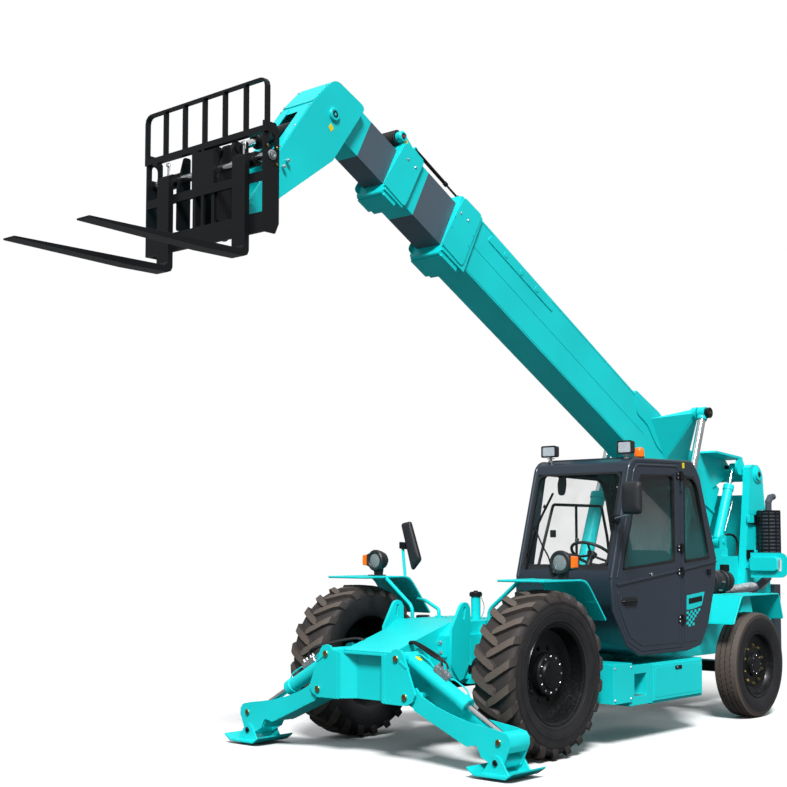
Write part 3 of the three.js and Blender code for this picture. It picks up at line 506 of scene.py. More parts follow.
def oblong(a_low, b_low, a_high, b_high):
    """Outline of a rectangle between two corners."""
    return [(a_low, b_low), (a_high, b_low), (a_high, b_high), (a_low, b_high)]


def flat_bar(half_wide, half_thick):
    """Outline of a flat bar about its middle."""
    return oblong(-half_wide, -half_thick, half_wide, half_thick)


def tube(points, radius, bend=None, sides=12):
    """Round bar or hose in millimetres of radius through points given in metres."""
    path = bent_path(points, bend) if bend else smooth_path(points)
    return sweep(path, ring_outline(radius, sides))


def rounded(outline, radius, steps=3):
    """Outline with its corners rounded, all in millimetres."""
    flat = [Vector((a, b, 0)) for a, b in outline]
    out = []
    for i, corner in enumerate(flat):
        back = flat[i - 1] - corner
        on = flat[(i + 1) % len(flat)] - corner
        reach = min(radius, back.length * 0.45, on.length * 0.45)
        a, b = corner + back.normalized() * reach, corner + on.normalized() * reach
        for step in range(steps + 1):
            t = step / steps
            spot = a.lerp(corner, t).lerp(corner.lerp(b, t), t)
            out.append((spot.x, spot.y))
    return out


def slab(outline, low, high, place, bevel=2.0):
    """Plate: outline (a, b) from low to high in millimetres; place(a, b, depth) gives the point."""
    centre = np.mean(outline, axis=0)
    shape = Shape()
    rims = [(low, bevel), (low + bevel, 0), (high - bevel, 0), (high, bevel)]
    for depth, inset in rims:
        for a, b in outline:
            away = Vector((a - centre[0], b - centre[1]))
            away = away * max(0.0, 1 - inset / max(away.length, 1e-6))
            shape.points.append(Vector(place(centre[0] + away.x, centre[1] + away.y, depth)))
    return outward(shape.skin(len(outline), len(rims)))


def outward(shape):
    """Makes a closed shape's faces point out."""
    mesh = shape.mesh("turning")
    work = bmesh.new()
    work.from_mesh(mesh)
    bmesh.ops.recalc_face_normals(work, faces=work.faces)
    copy = Shape()
    copy.points = [v.co.copy() for v in work.verts]
    copy.faces = [[v.index for v in face.verts] for face in work.faces]
    copy.marks = list(shape.marks)
    work.free()
    bpy.data.meshes.remove(mesh)
    return copy


def side(x_sign=1):
    """Place rule for a plate seen from the side: (y, z) with its depth along x."""
    return lambda a, b, depth: at(depth * x_sign, a, b)


def across(a, b, depth):
    """Place rule for a plate seen from the front: (x, z) with its depth along y."""
    return at(a, depth, b)


def lying(a, b, depth):
    """Place rule for a plate seen from above: (x, y) with its depth along z."""
    return at(a, b, depth)


def along_boom(x_sign=1):
    """Place rule for a plate on the boom's side: (along, above) with its depth along x."""
    return lambda a, b, depth: on_boom(depth * x_sign, a, b)


def brick(low, high, bevel=2.0, place=lying):
    """Softened block between two corners in millimetres."""
    return slab(oblong(*low[:2], *high[:2]), low[2], high[2], place, bevel)


# ---------- pieces ----------
def piece(name, shape, finish, body="chassis", slot=None, angle=32, replaces=()):
    """Puts a shape in the scene as a piece that rides on a body. Edges over the angle stay sharp."""
    mesh = shape.mesh(name) if isinstance(shape, Shape) else shape
    mesh.name = name
    made = bpy.data.objects.new(name, mesh)
    bpy.context.scene.collection.objects.link(made)
    if not mesh.materials:
        mesh.materials.append(MAT[finish])
    mesh.shade_smooth()
    mesh.set_sharp_from_angle(angle=math.radians(angle))
    even = made.modifiers.new("even_normals", "WEIGHTED_NORMAL")
    even.keep_sharp = True
    even.weight = 80
    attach(made, body)
    slot or SLOTS[finish]
    if replaces:
        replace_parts(made, *replaces)
    return made


def opened(node):
    """A CAD node's mesh for work on it, its doubles merged and its flats made whole."""
    work = bmesh.new()
    work.from_mesh(frame["nodes"][node].data)
    bmesh.ops.remove_doubles(work, verts=work.verts, dist=1e-5)
    bmesh.ops.dissolve_limit(work, angle_limit=math.radians(0.6), verts=work.verts, edges=work.edges)
    return work


def bevelled(work, edges, width, segments, clamp=True):
    bmesh.ops.bevel(work, geom=edges, offset=width * MM, offset_type="OFFSET", segments=segments, profile=0.5,
                    affect="EDGES", clamp_overlap=clamp)


def softened(work, width):
    """Breaks a mesh's sharp edges by a width in millimetres."""
    bevelled(work, [e for e in work.edges if e.is_manifold and e.calc_face_angle(0) > math.radians(40)], width, 2)


def shown_for(node, work, name, finish, slot, angle=32):
    """Puts worked metal in the scene in place of its CAD node."""
    mesh = bpy.data.meshes.new(name)
    work.to_mesh(mesh)
    work.free()
    mesh.materials.clear()
    return piece(name, mesh, finish, frame["nodes"][node]["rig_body"], slot, angle, [node])


def dress(node, finish, slot, width=2.5):
    """A CAD node with its edges softened, shown in place of the node."""
    work = opened(node)
    softened(work, width)
    return shown_for(node, work, node + "_finished", finish, slot)


# ---------- repeated work in Geometry Nodes ----------
class Graph(Net):
    """A Geometry Nodes tree with named inputs that ends in one painted, realised mesh."""

    def __init__(self, name):
        self.tree = bpy.data.node_groups.new(name, "GeometryNodeTree")
        self.keys = {}
        self.source = self.tree.nodes.new("NodeGroupInput")
        self.tree.interface.new_socket("Geometry", in_out="OUTPUT", socket_type="NodeSocketGeometry")
        self.base = self.take("Geometry", "NodeSocketGeometry")

    def take(self, name, kind):
        made = self.tree.interface.new_socket(name, in_out="INPUT", socket_type=kind)
        self.keys[name] = made.identifier
        return Value(self, self.source.outputs[name])

    def close(self, geometry, keep_base):
        painted = self.node("GeometryNodeRealizeInstances", inputs={0: geometry})
        if keep_base:
            join = self.tree.nodes.new("GeometryNodeJoinGeometry")
            for part in (painted, self.base):
                self.tree.links.new(part.socket, join.inputs[0])
            painted = Value(self, join.outputs[0])
        material = self.take("Material", "NodeSocketMaterial")
        painted = self.node("GeometryNodeSetMaterial", inputs={"Geometry": painted, "Material": material})
        self.put(self.tree.nodes.new("NodeGroupOutput").inputs[0], painted)
        return self


def ring_graph():
    """Turns copies of an item about the X axis, a full circle of them, beside the base mesh."""
    graph = Graph("ring_of_items")
    item = graph.node("GeometryNodeObjectInfo", inputs={"Object": graph.take("Item", "NodeSocketObject")}, out=4)
    count = graph.take("Count", "NodeSocketInt")
    line = graph.node("GeometryNodeMeshLine", inputs={"Count": count, "Offset": (0, 0, 0)})
    turn = graph.node("GeometryNodeInputIndex") * (2 * math.pi)
    turn = graph.node("ShaderNodeMath", {"operation": "DIVIDE"}, {0: turn, 1: count})
    angles = graph.node("ShaderNodeCombineXYZ", inputs={0: turn})
    placed = graph.node("GeometryNodeInstanceOnPoints", inputs={
        "Points": line, "Instance": item, "Rotation": angles,
    })
    return graph.close(placed, True)


def spots_graph():
    """Sets an item on every point, its Z turned to the point's 'facing' and spun at random."""
    graph = Graph("items_on_spots")
    item = graph.node("GeometryNodeObjectInfo", inputs={"Object": graph.take("Item", "NodeSocketObject")}, out=4)
    facing = graph.node("GeometryNodeInputNamedAttribute", {"data_type": "FLOAT_VECTOR"}, {"Name": "facing"})
    turn = graph.node("FunctionNodeAlignRotationToVector", {"axis": "Z"}, {"Vector": facing})
    spin = graph.node("FunctionNodeRandomValue", {"data_type": "FLOAT"}, {
        2: 0.0, 3: 6.283, "Seed": graph.take("Seed", "NodeSocketInt"),
    }, 1)
    own = graph.node("ShaderNodeCombineXYZ", inputs={2: spin})
    turn = graph.node("FunctionNodeRotateRotation", {"rotation_space": "LOCAL"}, {0: turn, 1: own})
    placed = graph.node("GeometryNodeInstanceOnPoints", inputs={
        "Points": graph.base, "Instance": item, "Rotation": turn,
    })
    return graph.close(placed, False)


def coil_graph():
    """Threads rings onto a line of edges, one every pitch, beside the line's own tube."""
    graph = Graph("rings_on_a_line")
    curve = graph.node("GeometryNodeMeshToCurve", inputs={0: graph.base})
    even = graph.node("GeometryNodeResampleCurve", {"mode": "LENGTH"}, {
        "Curve": curve, "Length": graph.take("Pitch", "NodeSocketFloat"),
    })
    path = graph.node("GeometryNodeCurvePrimitiveCircle", inputs={
        "Resolution": 14, "Radius": graph.take("Ring", "NodeSocketFloat"),
    })
    wire = graph.node("GeometryNodeCurvePrimitiveCircle", inputs={
        "Resolution": 6, "Radius": graph.take("Wire", "NodeSocketFloat"),
    })
    ring = graph.node("GeometryNodeCurveToMesh", inputs={0: path, 1: wire})
    tangent = graph.node("GeometryNodeInputTangent")
    turn = graph.node("FunctionNodeAlignRotationToVector", {"axis": "Z"}, {"Vector": tangent})
    placed = graph.node("GeometryNodeInstanceOnPoints", inputs={
        "Points": even, "Instance": ring, "Rotation": turn,
    })
    return graph.close(placed, False)


RING, SPOTS, COIL = ring_graph(), spots_graph(), coil_graph()


def grown(base, graph, finish, item=None, **values):
    """The mesh that a graph makes from a base mesh and an item shape."""
    carrier = bpy.data.objects.new("carrier", base)
    bpy.context.scene.collection.objects.link(carrier)
    helpers = [carrier]
    if item:
        helper = bpy.data.objects.new("item", item.mesh("item"))
        bpy.context.scene.collection.objects.link(helper)
        helpers.append(helper)
        values["Item"] = helper
    modifier = carrier.modifiers.new("grow", "NODES")
    modifier.node_group = graph.tree
    for name, value in {**values, "Material": MAT[finish]}.items():
        modifier[graph.keys[name]] = value
    mesh = bpy.data.meshes.new_from_object(carrier.evaluated_get(bpy.context.evaluated_depsgraph_get()))
    for helper in helpers:
        bpy.data.objects.remove(helper)
    return mesh


def bolt(radius, height, washer=True):
    """Hexagon head with a chamfered top, on a washer, standing on Z = 0."""
    shape = lathe([(0, 0), (radius, 0), (radius, height * 0.75), (radius * 0.84, height), (0, height)],
                  (0, 0, 0), (0, 0, 1), 6)
    if washer:
        shape.join(lathe(oblong(0, 0, radius * 1.35, height * 0.18),
                         (0, 0, 0), (0, 0, 1), 16))
    return shape


def bolts(name, spots, radius, height, body="chassis", finish="steel", washer=True):
    """Bolt heads at (point, facing) spots, as one piece."""
    base = bpy.data.meshes.new(name)
    base.from_pydata([tuple(point) for point, facing in spots], [], [])
    facing = base.attributes.new("facing", "FLOAT_VECTOR", "POINT")
    facing.data.foreach_set("vector", np.array([tuple(f) for p, f in spots], np.float32).ravel())
    mesh = grown(base, SPOTS, finish, bolt(radius, height, washer), Seed=7)
    return piece(name, mesh, finish, body, angle=25)


def coil(name, points, pitch, ring, wire, finish="rubber"):
    """Rings threaded along a path: a spiral hose guard or the ribs of a flexible pipe."""
    path = smooth_path(points)
    base = bpy.data.meshes.new(name)
    base.from_pydata([tuple(p) for p in path], [(i, i + 1) for i in range(len(path) - 1)], [])
    mesh = grown(base, COIL, finish, Pitch=pitch * MM, Ring=ring * MM, Wire=wire * MM)
    return piece(name, mesh, finish, angle=60)


# ---------- wheels ----------
FRONT_CENTRE, REAR_CENTRE = (947, 0, 630), (968, 3317, 484)
HUB = (0, 0, 0)


def lug(stations, shift):
    """One tread bar from (top offset, top r, base offset, base r, centre, half widths) stations."""
    shape = Shape()
    for top, top_r, base, base_r, centre, half_top, half_base in stations:
        for offset, r, half in ((top, top_r, -half_top), (top, top_r, half_top),
                                (base, base_r, half_base), (base, base_r, -half_base)):
            angle = (centre + half) / r + shift
            shape.points.append(Vector((offset, -r * math.cos(angle), r * math.sin(angle))))
    for i in range(len(stations) - 1):
        for j in range(4):
            k = (j + 1) % 4
            shape.faces.append([i * 4 + j, i * 4 + k, i * 4 + 4 + k, i * 4 + 4 + j])
            shape.marks.append([0.95, 0.32, 0.0, 0.32][j] * (1.0 if i < 4 else 0.35))
    last = len(shape.points) - 4
    shape.faces += [[3, 2, 1, 0], [last, last + 1, last + 2, last + 3]]
    shape.marks += [0.5, 0.2]
    return outward(shape)


LUG = [
    (-0.040, 0.6275, -0.046, 0.598, -0.005, 0.017, 0.025),
    (-0.010, 0.6295, -0.010, 0.598, 0.012, 0.029, 0.037),
    (0.060, 0.6285, 0.060, 0.596, 0.052, 0.030, 0.038),
    (0.130, 0.6255, 0.130, 0.590, 0.098, 0.031, 0.039),
    (0.166, 0.613, 0.163, 0.578, 0.125, 0.033, 0.040),
    (0.182, 0.580, 0.176, 0.560, 0.135, 0.032, 0.038),
    (0.1845, 0.545, 0.180, 0.540, 0.137, 0.028, 0.032),
]
LUGS = 22


def to_place(mesh, change):
    """Moves a mesh, with its faces kept outwards."""
    mesh.transform(change)
    if change.determinant() < 0:
        mesh.flip_normals()
    return mesh


def wheel_end(sign, centre):
    return at(sign * centre[0], *centre[1:])


def wheel_place(sign, centre):
    """Moves a wheel built about the origin, its outside at +X, to its axle end."""
    return Matrix.Translation(centre) @ Matrix.Diagonal((sign, 1, 1, 1))


def front_tyre(side_name, sign):
    """Implement tyre: a plain carcass, tread bars from both shoulders, moulded lines on its wall."""
    crown = [(600, 0), (599, 60), (596, 110), (588, 145), (574, 166), (550, 179), (500, 185.5),
             (450, 183), (410, 174), (384, 163), (372, 156), (362, 150), (362, 120)]
    profile = [(r, -o) for r, o in crown[:0:-1]] + crown
    carcass = lathe(profile, HUB, X, 96)
    worn = [0.22 if r > 570 else 0.06 if r > 520 else 0.0 for r, o in profile]
    carcass.marks = [worn[i // 96] for i in range(len(carcass.faces))]
    half = lug(LUG, 0.0)
    pair = Shape().join(half).join(lug(LUG, math.pi / LUGS).mirrored())
    mesh = grown(carcass.mesh("carcass"), RING, "tyre", pair, Count=LUGS)
    to_place(mesh, wheel_place(sign, wheel_end(sign, FRONT_CENTRE)))
    piece("front_tyre_tread_" + side_name, mesh, "tyre", "front_wheel_" + side_name, "tyre", 38,
          ["front_tyre_" + side_name])
    lines = Shape()
    for r, o in ((532, 183.2), (470, 185.2), (404, 172.5)):
        ring = [(r - 5, o - 4), (r - 3.5, o + 1.4), (r + 3.5, o + 1.4), (r + 5, o - 4)]
        lines.join(lathe(ring, HUB, X, 72))
    mesh = to_place(lines.mesh("lines"), wheel_place(sign, wheel_end(sign, FRONT_CENTRE)))
    piece("front_tyre_bead_lines_" + side_name, mesh, "tyre", "front_wheel_" + side_name, "tyre", 60)


def rear_tyre(side_name, sign):
    """Ribbed tread: three wandering grooves, cut from one pitch and repeated round the wheel."""
    pitches, steps = 60, 4
    sweep_angle = 2 * math.pi / pitches
    wave = [0.0, 5.0, 9.0, 4.0, 0.0]
    shape = Shape()
    for step in range(steps + 1):
        angle = sweep_angle * step / steps
        row = [(-112.5, 432), (-109, 462), (-100, 475)]
        for centre, way in ((-50, 1), (0, -1), (50, 1)):
            shift = centre + wave[step] * way - 4 * way
            row += [(shift - 5.5, 482.5), (shift - 4, 472), (shift + 4, 472), (shift + 5.5, 482.5)]
        row += [(100, 475), (109, 462), (112.5, 432)]
        for offset, r in row:
            shape.points.append(Vector((offset, -r * math.cos(angle), r * math.sin(angle))) * MM)
    width = len(row)
    for step in range(steps):
        for j in range(width - 1):
            shape.faces.append([step * width + j, step * width + j + 1,
                                (step + 1) * width + j + 1, (step + 1) * width + j])
            groove = j in (4, 8, 12)
            shape.marks.append(0.25 if groove else 0.3 if j in (0, width - 2) else 0.92)
    sidewall = [(432, 112.5), (400, 113.3), (365, 109), (330, 100), (308, 92), (296, 86), (294, 60)]
    profile = [(r, -o) for r, o in sidewall[::-1]]
    inner = lathe(profile, HUB, X, 96)
    outer = lathe(sidewall, HUB, X, 96)
    mesh = grown(Shape().join(inner).join(outer).mesh("walls"), RING, "tyre", shape, Count=pitches)
    work = bmesh.new()
    work.from_mesh(mesh)
    bmesh.ops.remove_doubles(work, verts=work.verts, dist=4e-5)
    bmesh.ops.recalc_face_normals(work, faces=work.faces)
    work.to_mesh(mesh)
    work.free()
    to_place(mesh, wheel_place(sign, wheel_end(sign, REAR_CENTRE)))
    piece("rear_tyre_tread_" + side_name, mesh, "tyre", "rear_wheel_" + side_name, "tyre", 38,
          ["rear_tyre_" + side_name])


FRONT_RIM = [(372, 148), (379, 158), (374, 165), (362, 160), (352, 150), (346, 122), (336, 88), (330, 54),
             (300, 42), (262, 37), (182, 37), (168, 42), (160, 92), (150, 103), (112, 106), (102, 119),
             (60, 124), (0, 125)]
REAR_RIM = [(294, 84), (303, 92), (298, 98), (288, 94), (280, 86), (274, 62), (262, 40), (240, 30),
            (205, 24), (196, 28), (150, 34), (120, 34), (112, 38), (106, 60), (92, 72), (60, 74), (0, 75)]


def rim(kind, side_name, sign, profile, centre, back):
    """Wheel disc with its outside and inside walls."""
    body = f"{kind}_wheel_{side_name}"
    shape = lathe(profile, HUB, X, 96)
    shape.join(lathe(back, HUB, X, 72))
    change = wheel_place(sign, centre)
    piece(f"{kind}_rim_disc_{side_name}", to_place(shape.mesh("rim"), change), "rim", body, "rim_black", 30,
          [f"{kind}_rim_{side_name}"])
    return change, body


def nut_ring(name, change, body, count, radius, offset, size, height, finish, pair=0.0):
    """A circle of nuts on a wheel; with pair, they stand in twos."""
    item = Shape()
    for shift in ((-pair, pair) if pair else (0.0,)):
        spot = Vector((offset, radius * math.cos(shift), radius * math.sin(shift))) * MM
        item.join(bolt(size, height).moved(Matrix.Translation(spot) @ basis(X).to_4x4()))
    mesh = grown(bpy.data.meshes.new(name), RING, finish, item, Count=count)
    piece(name, to_place(mesh, change), finish, body, "chrome", 25)


for side_name, sign in SIDES:
    front_tyre(side_name, sign)
    rear_tyre(side_name, sign)
    back = [(362, 150), (340, 60), (330, -40), (345, -130), (362, -150), (372, -158)]
    change, body = rim("front", side_name, sign, FRONT_RIM, wheel_end(sign, FRONT_CENTRE), back)
    nut_ring("front_wheel_nuts_" + side_name, change, body, 10, 200, 37, 14, 16, "rim")
    nut_ring("front_hub_bolts_" + side_name, change, body, 12, 134, 104, 6.5, 6, "steel")
    nut_ring("front_hub_plugs_" + side_name, change, body, 3, 76, 121, 9, 6, "rim")
    back = [(294, 84), (270, 30), (266, -40), (282, -76), (294, -84), (303, -92)]
    change, body = rim("rear", side_name, sign, REAR_RIM, wheel_end(sign, REAR_CENTRE), back)
    nut_ring("rear_wheel_nuts_" + side_name, change, body, 5, 176, 33, 13, 18, "brass", 0.3)
    nut_ring("rear_hub_bolts_" + side_name, change, body, 8, 84, 70, 6, 6, "steel")


# ---------- boom ----------
HEAD_ROUNDS = [(at(0, -1410, 5012), 62), (at(0, -1086, 4869), 48), (at(0, -2215, 3800), 40)]


def split_dress(node, cut_along):
    """A boom section in two paints: teal past the cut, slate before it."""
    works = [opened(node), opened(node)]
    for work, keep_far in zip(works, (True, False)):
        for spot, radius in HEAD_ROUNDS:
            near = [e for e in work.edges if e.is_manifold and e.calc_length() > 0.02 and all(
                (Vector((0, v.co.y, v.co.z)) - spot).length < 0.004 for v in e.verts)]
            if near:
                bevelled(work, near, radius, 7)
        softened(work, 2.5)
        whole = work.verts[:] + work.edges[:] + work.faces[:]
        bmesh.ops.bisect_plane(work, geom=whole, plane_co=on_boom(0, cut_along, 0), plane_no=BOOM_WAY,
                               clear_inner=keep_far, clear_outer=not keep_far)
    shown_for(node, works[0], node + "_teal_end", "teal", "teal_paint")
    shown_for(node, works[1], node + "_section", "slate", "slate_paint")


split_dress("boom_inner", 6065)
split_dress("boom_mid", 5372)


def boom_line(x, start, end):
    """A weld bead along a section's side, between (along, above) places, on both sides."""
    bead = tube([on_boom(x, *start), on_boom(x, *end)], 3, sides=8)
    return bead.join(bead.mirrored())


# outer section: weld beads, doubler with plugs, rear cheek plates, collar cheeks and screws
seams = Shape()
for above, back in ((-12, 1700), (236, 1900), (-238, 700)):
    seams.join(boom_line(149, (4690, above), (back, above)))
piece("boom_outer_weld_seams", seams, "teal", "boom_outer", "teal_paint")
doubler = slab(rounded([(3490, 150), (4540, 150), (4500, 232), (3530, 232)], 36), 148, 156, along_boom())
cheek = slab(rounded([(2010, 252), (1905, 98), (1690, 98), (1450, 0), (1210, -6), (700, -20), (620, 40), (420, 240),
                      (760, 252)], 45), 148, 157, along_boom())
piece("boom_outer_side_plates", doubler.join(cheek).with_mirror(), "teal", "boom_outer", "teal_paint")
fin = slab(rounded([(2012, 252), (1995, 300), (1540, 336), (1300, 300), (900, 252)], 12), 100, 142, along_boom(), 4)
piece("boom_outer_top_fins", fin.with_mirror(), "teal", "boom_outer", "teal_paint")
plug = Shape()
for along in (4277, 4027, 3782):
    plug.join(disc(on_boom(155, along, 190), X, 27, 5, 2))
piece("boom_outer_plugs", plug.with_mirror(), "teal", "boom_outer", "teal_paint")
# a thin black disc stands for the hole in each rear cheek plate: painted shade for the dark inside of the hole
hole = disc(on_boom(156.6, 1300, 105), X, 30, 1.2, 0.4)
piece("boom_cheek_hole", hole.with_mirror(), "black", "boom_outer", "black_paint")


def collar_cheek(x, back, front, low, high, body, name):
    """Rounded side plate of a collar with a softened rim, on both sides."""
    outline = rounded([(back, high), (front - 25, high - 10), (front + 35, low), (back + 18, low - 12)], 40)
    piece(name, slab(outline, x - 1, x + 8, along_boom(), 3).with_mirror(), "teal", body, "teal_paint")


collar_cheek(174, 4712, 4998, -268, 262, "boom_outer", "outer_collar_cheeks")
collar_cheek(149, 5478, 5748, -262, 210, "boom_mid", "mid_collar_cheeks")


def collar_shoe(name, body, back, front, half, bottom):
    """Rolled lip and raised rim under a collar, with four screws."""
    lip = tube([on_boom(-half, front - 22, bottom), on_boom(half, front - 22, bottom)], 22, sides=20)
    for x in (-half, half):
        lip.join(tube([on_boom(x, back + 12, bottom + 4), on_boom(x, front - 22, bottom + 4)], 7, sides=8))
    piece(name, lip, "teal", body, "teal_paint")
    spots = [(on_boom(x, along, bottom - 2), -BOOM_UP) for x in (-half * 0.42, half * 0.42)
             for along in (back + 80, front - 110)]
    bolts(name + "_screws", spots, 9, 6, body, "iron")


collar_shoe("outer_collar_shoe", "boom_outer", 4712, 5000, 150, -317)
collar_shoe("mid_collar_shoe", "boom_mid", 5532, 5750, 128, -298)
bolts("outer_collar_screws", [(on_boom(s * 182, *p), X * s) for s in (1, -1) for p in (
    (4946, 101), (4848, 105))], 9, 7, "boom_outer")
bolts("outer_collar_pins", [(on_boom(s * 182, *p), X * s) for s in (1, -1) for p in (
    (4985, -75), (4990, 26), (4734, 30), (4745, -80))], 4, 3, "boom_outer", "iron", False)
bolts("mid_collar_screws", [(on_boom(s * 157, *p), X * s) for s in (1, -1) for p in (
    (5641, 88), (5541, 88))], 9, 7, "boom_mid")

# hose drum on the middle collar, with its teal bosses
DRUM = (5768, 212)
drum = Shape()
for i in range(9):
    drum.join(lathe([(0, 0), (52, 0), (60, 4), (60, 12), (52, 17), (0, 17)], on_boom(-88 + i * 22, 5772, 212), X, 32))
piece("hose_drum_ribs", drum, "rubber", "boom_mid", "black_plastic")
boss = both_ways([(0, 108), (44, 108), (44, 150), (36, 160), (26, 161), (26, 152), (0, 152)], on_boom(0, *DRUM), 32)
boss.join(slab(rounded([(5560, 180), (5610, 232), (5720, 262), (5800, 256), (5815, 200), (5740, 170)], 26),
               112, 128, along_boom(), 2).with_mirror())
piece("hose_drum_bosses", boss, "teal", "boom_mid", "teal_paint")
core = Shape()
for sign in (1, -1):
    core.join(disc(on_boom(sign * 151, *DRUM), X * sign, 22, 8))
piece("hose_drum_pins", core, "iron", "boom_mid", "cast_iron")
# the red mark glows a little through its finish: painted glow, it is no lamp
piece("hose_drum_marks", disc(on_boom(159, *DRUM), X, 10, 2.5, 0.8), "red", "boom_mid", "amber_plastic")
hose_rod = lathe([(0, 0), (15, 2), (15, 420), (19, 424), (19, 452), (9, 458), (9, 610), (0, 612)],
                 on_boom(58, 5545, 300), -BOOM_WAY, 20)
piece("section_chain_rod", hose_rod, "black", "boom_mid", "black_paint")
foot = brick((-14, -12, 0), (14, 12, 60), 2, lambda a, b, c: on_boom(58 + a, 4935 + b, 282 + c * 0.5))
piece("chain_rod_end", foot, "brass", "boom_mid", "chrome")
stay = slab(rounded([(5460, 180), (5560, 180), (5552, 318), (5520, 322)], 12), 46, 70, along_boom(), 2)
piece("chain_rod_bracket", stay, "teal", "boom_mid", "teal_paint")


def sticker(name, corners, body="chassis"):
    """Thin plain plate through four corners, raised a millimetre from its face."""
    a, b, c, d = (Vector(p) for p in corners)
    off = (b - a).cross(d - a).normalized() * MM
    ring = [a, b, c, d, a + off, b + off, c + off, d + off]
    faces = [[4, 5, 6, 7], [0, 3, 2, 1], [0, 1, 5, 4], [1, 2, 6, 5], [2, 3, 7, 6], [3, 0, 4, 7]]
    piece(name, outward(Shape().add(ring, faces)), "sticker", body, "amber_plastic")


sticker("drum_sticker", [on_boom(128.5, *p) for p in ((5700, 190), (5740, 215), (5715, 246), (5675, 221))],
        "boom_mid")

# head: screwed covers on the front, pin bosses, grease fittings
HEAD_PIN, CARRIAGE_PIN, TILT_EYE = (0, -1430, 4735), (0, -2250, 3870), (0, -2300, 4300)


def head_cover(name, start, end, low, high):
    """A cover on the head's front face between two (y, z) places and two x values."""
    a, b = Vector(start), Vector(end)
    way = (b - a).normalized()
    out = Vector((-way.y, way.x)) * (1 if way.y < 0 else -1)
    out = -out if out.x > 0 else out
    place = lambda x, s, d: at(x, a.x + way.x * s + out.x * d, a.y + way.y * s + out.y * d)
    length = (b - a).length
    piece(name, slab(rounded(oblong(low, 0, high, length), 6), 0.5, 7, place, 1.5), "teal", "boom_inner", "teal_paint")
    return place, length


screws = []
place, length = head_cover("head_cover_top", (-1470, 4953), (-1634, 4787), -158, 158)
screws += [(place(x, s, 7), place(x, s, 8) - place(x, s, 7)) for x in (-146, 146) for s in (14, length - 14)]
for low, high in ((-158, -66), (66, 158)):
    place, length = head_cover(f"head_cover_low_{'left' if low > 0 else 'right'}", (-1650, 4766), (-1950, 4370),
                               low, high)
    edge = 146 if low > 0 else -146
    screws += [(place(edge, s, 7), place(edge, s, 8) - place(edge, s, 7)) for s in (16, length / 2, length - 16)]
bolts("head_cover_screws", screws, 7, 5, "boom_inner")
bosses = both_ways([(50, 164), (50, 178), (44, 184), (30, 184), (30, 168)], at(*HEAD_PIN), 36)
bosses.join(both_ways([(60, 164), (60, 176), (54, 180), (36, 180), (36, 168)], at(*CARRIAGE_PIN), 36))
piece("head_pin_bosses", bosses, "teal", "boom_inner", "teal_paint")
ends = both_ways([(0, 160), (30, 160), (30, 181), (26, 184), (12, 184), (10, 180), (0, 180)], at(*HEAD_PIN), 28)
piece("head_pin_ends", ends, "iron", "boom_inner", "cast_iron")
caps = both_ways([(0, 182), (22, 182), (26, 179), (26, 165)], at(*HEAD_PIN), 24)
piece("head_pin_caps", caps, "iron", "boom_inner", "cast_iron")
sticker("head_sticker", [at(166, *p) for p in ((-1458, 4600), (-1432, 4632), (-1460, 4664), (-1486, 4632))],
        "boom_inner")
nipples = Shape()
for y, z in ((-1908, 4287), (-1946, 4236)):
    nipples.join(lathe([(7, 0), (7, 12), (12, 14), (15, 22), (13, 31), (6, 36), (0, 37)], at(164, y, z), X, 16))
piece("head_grease_fittings", nipples.with_mirror(), "steel", "boom_inner", "chrome")


# ---------- cylinders ----------
BORE_END = 105          # the bores end this far from the root
ROD_START = 0.48        # the rods start at this share of the barrel, deep enough for their whole stroke


def cylinder(base, eye, x, size, barrel_name, rod_name, finish="teal", lug=None):
    """Smooth barrel with its gland and root, and a chrome rod with its eye, on one line."""
    start, end = at(x, *base), at(x, *eye)
    way = (end - start).normalized()
    r, rod_r, barrel, eye_r = size
    bore, wide = rod_r + 4, lug or eye_r * 0.6
    ring = [(0, -wide), (eye_r - 3, -wide), (eye_r, -wide + 3), (eye_r, wide - 3), (eye_r - 3, wide), (0, wide)]
    shape = lathe([(0, 22), (r * 0.8, 22), (r, 40), (r, barrel - 62), (r * 1.13, barrel - 58), (r * 1.13, barrel - 6),
                   (r * 1.05, barrel), (bore, barrel), (bore, BORE_END), (0, BORE_END)], start, way, 40)
    shape.join(lathe(ring, start, X, 36))
    piece(barrel_name + "_body", shape, finish, barrel_name, "teal_paint", 35, [barrel_name])
    reach, inside = (end - start).length / MM, barrel * ROD_START
    rod = lathe([(0, inside), (rod_r, inside), (rod_r, reach - eye_r * 0.7)], start, way, 36)
    piece(rod_name + "_bar", rod, "chrome", rod_name, "chrome", 35, [rod_name])
    collar = [(rod_r + 2, reach - eye_r - 16), (rod_r * 1.3, reach - eye_r - 10), (rod_r * 1.3, reach - eye_r * 0.6)]
    head = lathe(ring, end, X, 36).join(lathe(collar, start, way, 32))
    piece(rod_name + "_eye", head, finish, rod_name, "teal_paint", 35)
    return start, way, end


for side_name, sign in SIDES:
    rod_name = f"lift_rod_{side_name}"
    start, way, end = cylinder((2450, 550), (3350, 2872), sign * 505, (70, 38, 1673, 60),
                               f"lift_barrel_{side_name}", rod_name)
    cap = lathe([(32, -52), (32, 0), (52, 56), (52, 77), (48, 81), (14, 81), (14, 76), (0, 76)], end, X * sign, 36)
    piece(f"lift_pin_cap_{side_name}", cap, "black", rod_name, "black_paint")
    piece(f"lift_pin_nipple_{side_name}", disc(end + X * sign * 0.076, X * sign, 12, 8), "brass", rod_name, "chrome")
start, way, end = cylinder((4070, 1630), (4425, 2403), 250, (50, 22, 640, 40), "slave_barrel", "slave_rod", lug=24)
PORT_OUT = Vector((0, 0.42, -0.2))


def port(along, out):
    """A point beside the slave cylinder, along it and out from it, in millimetres."""
    return start + way * (along * MM) + PORT_OUT.normalized() * (out * MM) + X * 0.02


